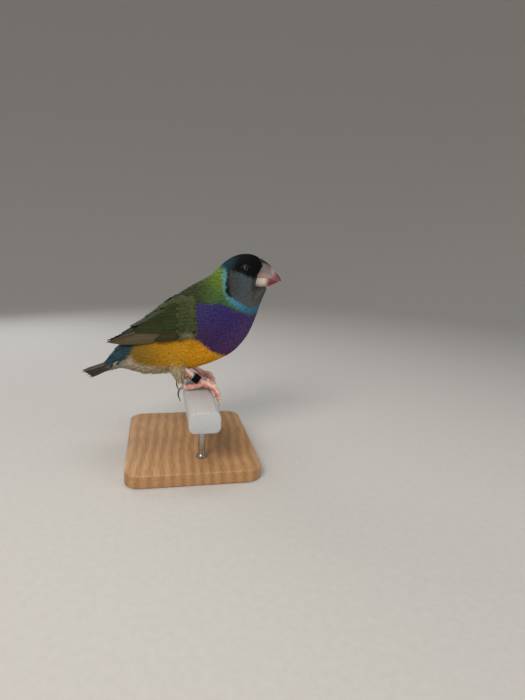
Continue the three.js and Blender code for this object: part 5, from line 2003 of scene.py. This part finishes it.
@dataclass
class Leg:
    """One bare leg: tarsus, four toes with scutes and pads, and their claws."""

    side: Side
    step: float
    out: float = 10.4
    heel: Pair = (-10.2, 14.2)
    ankle: Pair = (2.2, 4.3)
    tarsus_radius: float = 1.5
    heel_swell: float = 0.35
    root_radius: float = 1.7
    tip_radius: float = 1.25
    raised: float = 0.35
    knuckle: float = 0.16
    claw_root: float = 0.8
    claw_tip: float = 0.14
    claw_tall: float = 1.25
    scute_mm: float = 1.1
    voxel: float = 0.13
    plate_rise: float = 0.16
    pad_rise: float = 0.08
    joints: dict[Toe, Rows] = field(
        default_factory=lambda: {
            Toe.HIND: ((2.9, 0.1, 4.5), (-1.6, -0.3, 2.7), (-5.4, -0.2, 2.0), (-9.0, 0.1, 2.6)),
            Toe.INNER: ((1.7, 0.2, 4.1), (5.4, -2.4, 3.3), (8.4, -4.2, 1.6), (9.9, -4.7, -1.8)),
            Toe.MIDDLE: ((1.9, 0.05, 4.35), (5.8, -0.2, 3.6), (9.4, 0, 1.4), (10.8, 0.1, -2.6),
                (10.9, 0.2, -6.0)),
            Toe.OUTER: ((1.8, -0.25, 4.15), (5.2, 2.5, 3.4), (8.3, 4.3, 1.7), (10.1, 4.8, -1.9),
                (10.4, 4.9, -4.0)),
        }
    )
    claws: dict[Toe, Rows] = field(
        default_factory=lambda: {
            Toe.HIND: ((-8.1, 0.1, 2.7), (-10.9, 0.2, 1.5), (-11.9, 0.2, -1.8), (-10.4, 0.2, -6.4)),
            Toe.INNER: ((9.8, -4.7, -1.0), (10.6, -4.8, -3.8), (9.7, -4.8, -6.4)),
            Toe.MIDDLE: ((10.8, 0.2, -5.2), (11.7, 0.2, -8.6), (10.9, 0.2, -11.4)),
            Toe.OUTER: ((10.3, 4.9, -3.0), (11.1, 4.9, -5.8), (10.3, 4.9, -8.4)),
        }
    )

    def place(self, points: Rows) -> Array:
        """Puts a foot's points on its side, with the ankle a step ahead.

        Args:
            points: x, outward and z from the foot's own centre line.

        Returns:
            Places in millimetres.
        """
        p = np.array(points, float)
        share = np.maximum(0, 1 - ((p[:, 0] - self.ankle[0]) / 7.5) ** 2)
        x = p[:, 0] + self.step * share + self.raised * smooth(7, 10, p[:, 0])
        z = p[:, 2] + self.raised * (1 - smooth(8, 10, np.abs(p[:, 0])))
        return np.stack([x, self.side.value * (self.out + p[:, 1]), z], -1)

    def limb(self, path: Array, radius: Curve) -> Loft:
        """A round bar along a path, with plates on its upper face and pads under it.

        Args:
            path: Its centre line's points.
            radius: Its radius at shares of its length.

        Returns:
            The loft.
        """
        s = np.linspace(0, 1, 90)
        middle, ahead = follow(path, s)
        up, across = round_path(ahead)
        a = turns(28)
        length = np.linalg.norm(np.diff(middle, axis=0), axis=1).sum()
        phase = (s * length / self.scute_mm)[:, None]
        face = np.maximum(np.cos(a), 0)[None]
        sole = np.maximum(-np.cos(a), 0)[None]
        plates = self.plate_rise * (np.mod(phase, 1) - 0.6) * face**0.5
        pads = self.pad_rise * np.abs(np.sin(phase * 2.1)) * sole
        r = radius(s)[:, None] * np.ones_like(a) * (1 + plates + pads)
        corners = middle[:, None] + up[:, None] * (r * np.cos(a))[..., None]
        corners = corners + across[:, None] * (r * np.sin(a))[..., None]
        return Loft(corners[None])

    def lines(self) -> list[tuple[Array, Curve]]:
        """The centre lines of tarsus and toes, with their radii.

        Returns:
            Pairs of a path and its radius.
        """
        y = self.side.value
        heel = [self.heel[0] + self.step, y * (self.out - 0.4), self.heel[1]]
        ankle = [self.ankle[0] + self.step, y * self.out, self.ankle[1]]

        def shank(u: Array) -> Array:
            """Radius of the tarsus, swollen at the heel."""
            swell = 1 + self.heel_swell * np.exp(-((u / 0.16) ** 2))
            return self.tarsus_radius * swell * closing(u, 0.94, 0.065, 0.05)

        end = [ankle[0] + 1.3, ankle[1], ankle[2] - 0.5]
        lines = [(np.array([heel, ankle, end]), shank)]
        for joints in self.joints.values():
            bones = len(joints) - 1

            def toe(u: Array, bones: int = bones) -> Array:
                """Radius of a toe, swollen at its joints and round at its end."""
                swell = 1 + self.knuckle * np.cos(2 * np.pi * u * bones)
                radius = self.root_radius + (self.tip_radius - self.root_radius) * u
                return radius * swell * closing(u, 0.93, 0.08, 0.2)

            lines.append((self.place(joints), toe))
        return lines

    def colour(self, corners: Array) -> Array:
        """Paints the scutes: pink with redder seams, paler on top of the shank and under the toes.

        Args:
            corners: Places on the leg.

        Returns:
            Linear colours.
        """
        # for each corner: distance to the nearest centre line, plates and share along it, lean upwards
        best, phase, share, over = np.full((4, len(corners)), 1e9)
        s = np.linspace(0, 1, 90)
        for path, _ in self.lines():
            middle, ahead = follow(path, s)
            length = np.linalg.norm(np.diff(middle, axis=0), axis=1).sum()
            away = np.linalg.norm(corners[:, None] - middle[None], axis=-1)
            k = away.argmin(1)
            near = away[np.arange(len(corners)), k]
            lean = ((corners - middle[k]) * round_path(ahead)[0][k]).sum(-1) / np.maximum(near, 0.1)
            mine = near < best
            plates = s[k] * length / self.scute_mm
            for held, found in ((best, near), (phase, plates), (share, s[k]), (over, lean)):
                held[mine] = found[mine]
        edge = np.abs(np.mod(phase, 1) - 0.5) * 2
        tone = mixed(linear("F6ABA1"), linear("FADFCF"), smooth(-0.2, 0.8, -over))
        tone = mixed(tone, linear("F3E0CC"), smooth(0.55, 0.1, edge) * smooth(-0.6, 0.2, over) * 0.8)
        blush = 0.5 + 0.5 * np.sin(corners[:, 0] * 1.3 + corners[:, 2] * 0.9 + corners[:, 1])
        tone = mixed(tone, linear("F0DCC6"), smooth(0.6, 0.95, 1 - blush) * 0.4)
        tone = mixed(tone, linear("D0605E"), smooth(0.3, 1.0, blush) * 0.4)
        ends = smooth(0, 0.1, share) * (1 - smooth(0.86, 0.96, share))
        seam = smooth(0.55, 0.85, edge) * smooth(-0.5, 0.1, over) * ends
        tone = mixed(tone, linear("C64A4E"), seam * 0.9)
        return mixed(tone, linear("E8D2B6"), smooth(0.85, 1.0, share) * 0.5)

    def claw(self, toe: Toe) -> Loft:
        """One claw, curved and flattened at its sides.

        Args:
            toe: The toe it is on.

        Returns:
            The loft.
        """
        s = np.linspace(0, 1, 24)
        middle, ahead = follow(self.place(self.claws[toe]), s)
        up, across = round_path(ahead)
        a = turns(14)
        r = self.claw_root + (self.claw_tip - self.claw_root) * s**0.8
        r = r * closing(s, 0.93, 0.075, 0.05)
        tall = self.claw_tall * np.cos(a)
        wide = np.sin(a) * (1 - 0.15 * np.maximum(-np.cos(a), 0))
        corners = middle[:, None] + up[:, None] * (r[:, None] * tall)[..., None]
        corners = corners + across[:, None] * (r[:, None] * wide)[..., None]
        pale = ("E8DCC4", "D3C09C", (0.2, 1.0))
        root, tip, reach = ("A58E74", "5B4D40", (0.1, 0.6)) if toe is Toe.HIND else pale
        tone = mixed(linear(root), linear(tip), smooth(*reach, s))
        return Loft(corners[None], tone[None, :, None])

    def build(self, bench: Bench) -> None:
        """Builds leg and claws.

        Args:
            bench: Where the pieces are put together.
        """
        lofts = [self.limb(path, radius) for path, radius in self.lines()]
        word = self.side.word
        piece = bench.mesh(f"leg_{word}_scuted", lofts)
        corners = bench.fuse(piece, self.voxel)
        bench.mark(piece, self.colour(corners))
        bench.deliver(piece, SCALED_SKIN, [f"tarsus_{word}", f"foot_{word}"])
        for toe in Toe:
            name = f"{word}_{toe.value}"
            bench.make(f"claw_horn_{name}", [self.claw(toe)], 60, CLAW_HORN, [f"claw_{name}"])


@dataclass
class LegBand:
    """The plain closed band on the right leg, black with bright cut ends."""

    leg: Leg
    at: float = 0.66
    height: float = 4.9
    inner: float = 1.95
    outer: float = 2.6
    slack: float = 0.17
    bare_end: float = 0.22

    def build(self, bench: Bench) -> None:
        """Builds the band.

        Args:
            bench: Where the piece is put together.
        """
        h = self.height / 2
        # from the bore, over the cut end, to the outer face: radius and distance from the end
        half = [
            (self.inner, 0.15), (self.inner + 0.12, 0), (self.outer - 0.16, 0), (self.outer - 0.04, 0.06),
            (self.outer, 0.2), (self.outer, 0.4)
        ]
        profile = np.array([(r, -h + d) for r, d in half] + [(r, h - d) for r, d in reversed(half)])
        turn = turns(72)
        heel, ankle = np.array(self.leg.heel), np.array(self.leg.ankle)
        axis = unit(np.array([heel[0] - ankle[0], -0.4, heel[1] - ankle[1]]))
        first = unit(np.cross(axis, np.array([0, 1.0, 0])))
        second = np.cross(axis, first)
        place = heel + (ankle - heel) * self.at
        x, z = place[0] + axis[2] * self.slack * 0.6, place[1] - self.slack * 0.75
        centre = np.array([x, -self.leg.out + 0.15, z])
        out = first * np.cos(turn)[:, None] + second * np.sin(turn)[:, None]
        corners = centre + out[:, None] * profile[None, :, :1] + axis * profile[None, :, 1:]
        bright = (np.abs(profile[:, 1]) > h - self.bare_end).astype(float)
        tone = mixed(linear("191B1E"), linear("C6CACD"), bright)[None, None]
        band = Loft(corners[None], tone, joined=True)
        bench.make("leg_band_right", [band], 35, BAND_METAL, ["leg_ring_right"])


def rounded(width: float, height: float, corner: float, steps: int = 8) -> Array:
    """The outline of a rectangle with round corners.

    Args:
        width: Its first size.
        height: Its second size.
        corner: The corners' radius.
        steps: Points a corner.

    Returns:
        Points round it.
    """
    a = np.linspace(0, np.pi / 2, steps)
    points = []
    for quarter, (sx, sy) in enumerate(((1, 1), (-1, 1), (-1, -1), (1, -1))):
        angle = a + quarter * np.pi / 2
        centre = np.array([sx * (width / 2 - corner), sy * (height / 2 - corner)])
        points.append(centre + corner * np.stack([np.cos(angle), np.sin(angle)], -1))
    return np.concatenate(points)


@dataclass
class Perch:
    """The short cut length of flat white perch: a rounded bar with slightly eased cut ends."""

    length: float = 92.0
    width: float = 16.4
    thick: float = 11.0
    corner: float = 3.2
    centre_y: float = -4.0
    ease: float = 0.35

    def build(self, bench: Bench) -> None:
        """Builds the bar.

        Args:
            bench: Where the piece is put together.
        """
        half = self.length / 2
        ends = [(-half, -self.ease), (-half + 0.1, -0.4 * self.ease), (-half + self.ease, 0)]
        rows = ends + [(y, 0) for y in np.linspace(-half + 2, half - 2, 24)]
        rows += [(-y, d) for y, d in reversed(ends)]
        corners = []
        for y, grow in rows:
            ring = rounded(self.width + 2 * grow, self.thick + 2 * grow, self.corner + grow)
            flat = np.full(len(ring), y + self.centre_y)
            corners.append(np.stack([ring[:, 0], flat, ring[:, 1] - self.thick / 2], -1))
        bench.make("perch_bar", [Loft(np.array(corners)[None])], 30, PERCH_PLASTIC, ["perch"])


@dataclass
class DisplayStand:
    """The plain display stand: a wooden base and two steel posts with small collars."""

    thick: float = 7.0
    length: float = 96.0
    width: float = 72.0
    corner: float = 9.0
    bevel: float = 0.8
    centre: Pair = (-5.0, -4.0)
    post_radius: float = 2.0
    spread: float = 27.0

    def base(self, bench: Bench) -> None:
        """Builds the base plate.

        Args:
            bench: Where the piece is put together.
        """
        b = self.bevel
        lower = [(b - b * np.sin(a), b * (1 - np.sin(np.pi / 2 - a))) for a in np.linspace(0, np.pi / 2, 6)]
        steps = lower + [(0, self.thick * k / 6) for k in range(1, 6)]
        steps += [(inset, self.thick - z) for inset, z in reversed(lower)]
        corners = []
        for inset, z in steps:
            ring = rounded(self.width - 2 * inset, self.length - 2 * inset, self.corner - inset, 14)
            height = np.full(len(ring), z - bench.perch_top)
            corners.append(np.stack([ring[:, 0] + self.centre[0], ring[:, 1] + self.centre[1], height], -1))
        bench.make("stand_plinth", [Loft(np.array(corners)[None])], 40, BASE_BEECH, ["stand_base"])

    def post(self, bench: Bench, name: str, y: float) -> None:
        """Builds one post.

        Args:
            bench: Where the piece is put together.
            name: front or back.
            y: Its place.
        """
        low, high = (corner.z / MM - bench.perch_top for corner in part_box(f"stand_rod_{name}"))
        r, tall, turn = self.post_radius, high - low, turns(48)
        profile = [(r * 0.9, 0), (r + 1.1, 0), (r + 1.25, 0.12), (r + 1.25, 0.75), (r + 1.1, 0.9)]
        profile += [(r + 0.25, 1.0), (r, 1.3), (r, 6), (r, 12), (r, tall - 0.4), (r - 0.12, tall - 0.1), (r - 0.3, tall)]
        corners = [stacked(out * np.cos(turn), y + out * np.sin(turn), low + up) for out, up in profile]
        post = Loft(np.array(corners)[None])
        bench.make(f"stand_post_{name}", [post], 30, POST_STEEL, [f"stand_rod_{name}"])

    def build(self, bench: Bench) -> None:
        """Builds base and posts.

        Args:
            bench: Where the pieces are put together.
        """
        self.base(bench)
        self.post(bench, "front", self.centre[1] - self.spread)
        self.post(bench, "back", self.centre[1] + self.spread)


@dataclass
class Studio:
    """Pale sweep, soft lights and the camera at the photograph's angle."""

    sweep_flat: float = 700.0
    sweep_rise: float = 900.0
    sweep_height: float = 1500.0
    sweep_thick: float = 6.0
    place: Triple = (-24.124, -296.797, 87.641)
    right: Triple = (0.97904, -0.20061, 0.03511)
    up: Triple = (0.00912, 0.21543, 0.97648)
    back: Triple = (-0.20346, -0.95569, 0.21275)
    lens: float = 26.33
    # name, place in millimetres, size in millimetres, watts, hex colour
    lights: Sequence[tuple[str, Triple, float, float, str]] = (
        ("key_softbox", (-260, -420, 430), 320, 2.3, "FFF9F0"),
        ("fill_softbox", (420, -300, 160), 380, 0.5, "F1F5FF"),
        ("top_softbox", (0, 60, 560), 420, 0.8, "FFFFFF"),
        ("rim_softbox", (-240, 420, 240), 300, 0.6, "F4F7FF"),
    )
    target: Triple = (-5.0, 0.0, 42.0)  # what the lamps face
    sky: float = 0.3

    def sweep(self, bench: Bench) -> None:
        """Builds the round floor whose rim rises in a smooth curve.

        Args:
            bench: Where the piece is put together.
        """
        rise = np.linspace(0, np.pi / 2, 48)
        flat = (1.0, 60.0, 200.0, 450.0)
        radii = np.array([*flat, *(self.sweep_flat + self.sweep_rise * np.sin(rise))])
        heights = np.array([*np.zeros(len(flat)), *(self.sweep_height * (1 - np.cos(rise)))])
        radii = np.concatenate([radii, radii[::-1] + np.minimum(radii[::-1] - 1, self.sweep_thick)])
        heights = np.concatenate([heights, heights[::-1] - self.sweep_thick]) - bench.perch_top
        turn = turns(96)
        corners = stacked(radii[:, None] * np.cos(turn), radii[:, None] * np.sin(turn), heights[:, None])
        floor = bench.mesh("studio_floor", [Loft(corners[None])], 60)
        bench.dress(floor, FLOOR_CARD)

    def stand(self, bench: Bench, data: Any, place: Triple, axes: Sequence[Array]) -> Object:
        """Stands a lamp or the camera in the studio.

        Args:
            bench: Where the pieces are put together.
            data: The lamp or camera.
            place: Its place in millimetres.
            axes: Its right, its up and the direction behind it.

        Returns:
            The object.
        """
        made = bpy.data.objects.new(data.name, data)
        at = bench.world(np.array(place, float))
        made.matrix_world = Matrix.Translation(at.tolist()) @ Matrix(np.stack(axes, -1).tolist()).to_4x4()
        bpy.context.scene.collection.objects.link(made)
        return made

    def build(self, bench: Bench) -> None:
        """Builds floor, lights and camera.

        Args:
            bench: Where the pieces are put together.
        """
        scene = bpy.context.scene
        self.sweep(bench)
        world = bpy.data.worlds.new("studio_air")
        world.use_nodes = True
        air = world.node_tree.nodes["Background"].inputs
        air["Color"].default_value = (1, 1, 1, 1)
        air["Strength"].default_value = self.sky
        scene.world = world
        target = np.array(self.target)
        for name, place, size, watts, code in self.lights:
            data = bpy.data.lights.new(name, "AREA")
            data.shape = "DISK"
            data.size = size * MM
            data.energy = watts
            data.color = tuple(linear(code))
            back = unit(np.array(place) - target)
            side = unit(np.cross(np.array([0, 0.02, 1.0]), back))
            self.stand(bench, data, place, (side, np.cross(back, side), back))
        data = bpy.data.cameras.new("studio_camera")
        data.lens = self.lens
        data.clip_start = 0.01
        axes = [unit(np.array(axis)) for axis in (self.right, self.up, self.back)]
        scene.camera = self.stand(bench, data, self.place, axes)
        scene.view_settings.view_transform = "Standard"


def main() -> None:
    """Builds the bird, its perch, the stand and the studio, in order."""
    logging.basicConfig(level=logging.INFO, format="%(name)s %(message)s")
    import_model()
    bench = Bench(perch_top=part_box("perch")[1].z / MM)
    rng = np.random.default_rng(SEED)
    body, wing_form, plumage = BodyForm(), WingForm(), Plumage()
    legs = [Leg(Side.RIGHT, 0.0), Leg(Side.LEFT, 2.6)]
    thighs = [ThighForm(leg.side, leg.step) for leg in legs]
    Skin(body, wing_form, thighs, plumage).build(bench)
    coat = Coat(body, wing_form, thighs, plumage)
    coat.build(bench, rng)
    for side in Side:
        Wing(side, wing_form, plumage).build(bench, coat.bed, rng)
        Eye(side).build(bench)
    Tail(body).build(bench, rng)
    Bill().build(bench)
    for leg in legs:
        leg.build(bench)
    LegBand(legs[0]).build(bench)
    Perch().build(bench)
    DisplayStand().build(bench)
    Studio().build(bench)


if __name__ == "__main__":
    main()
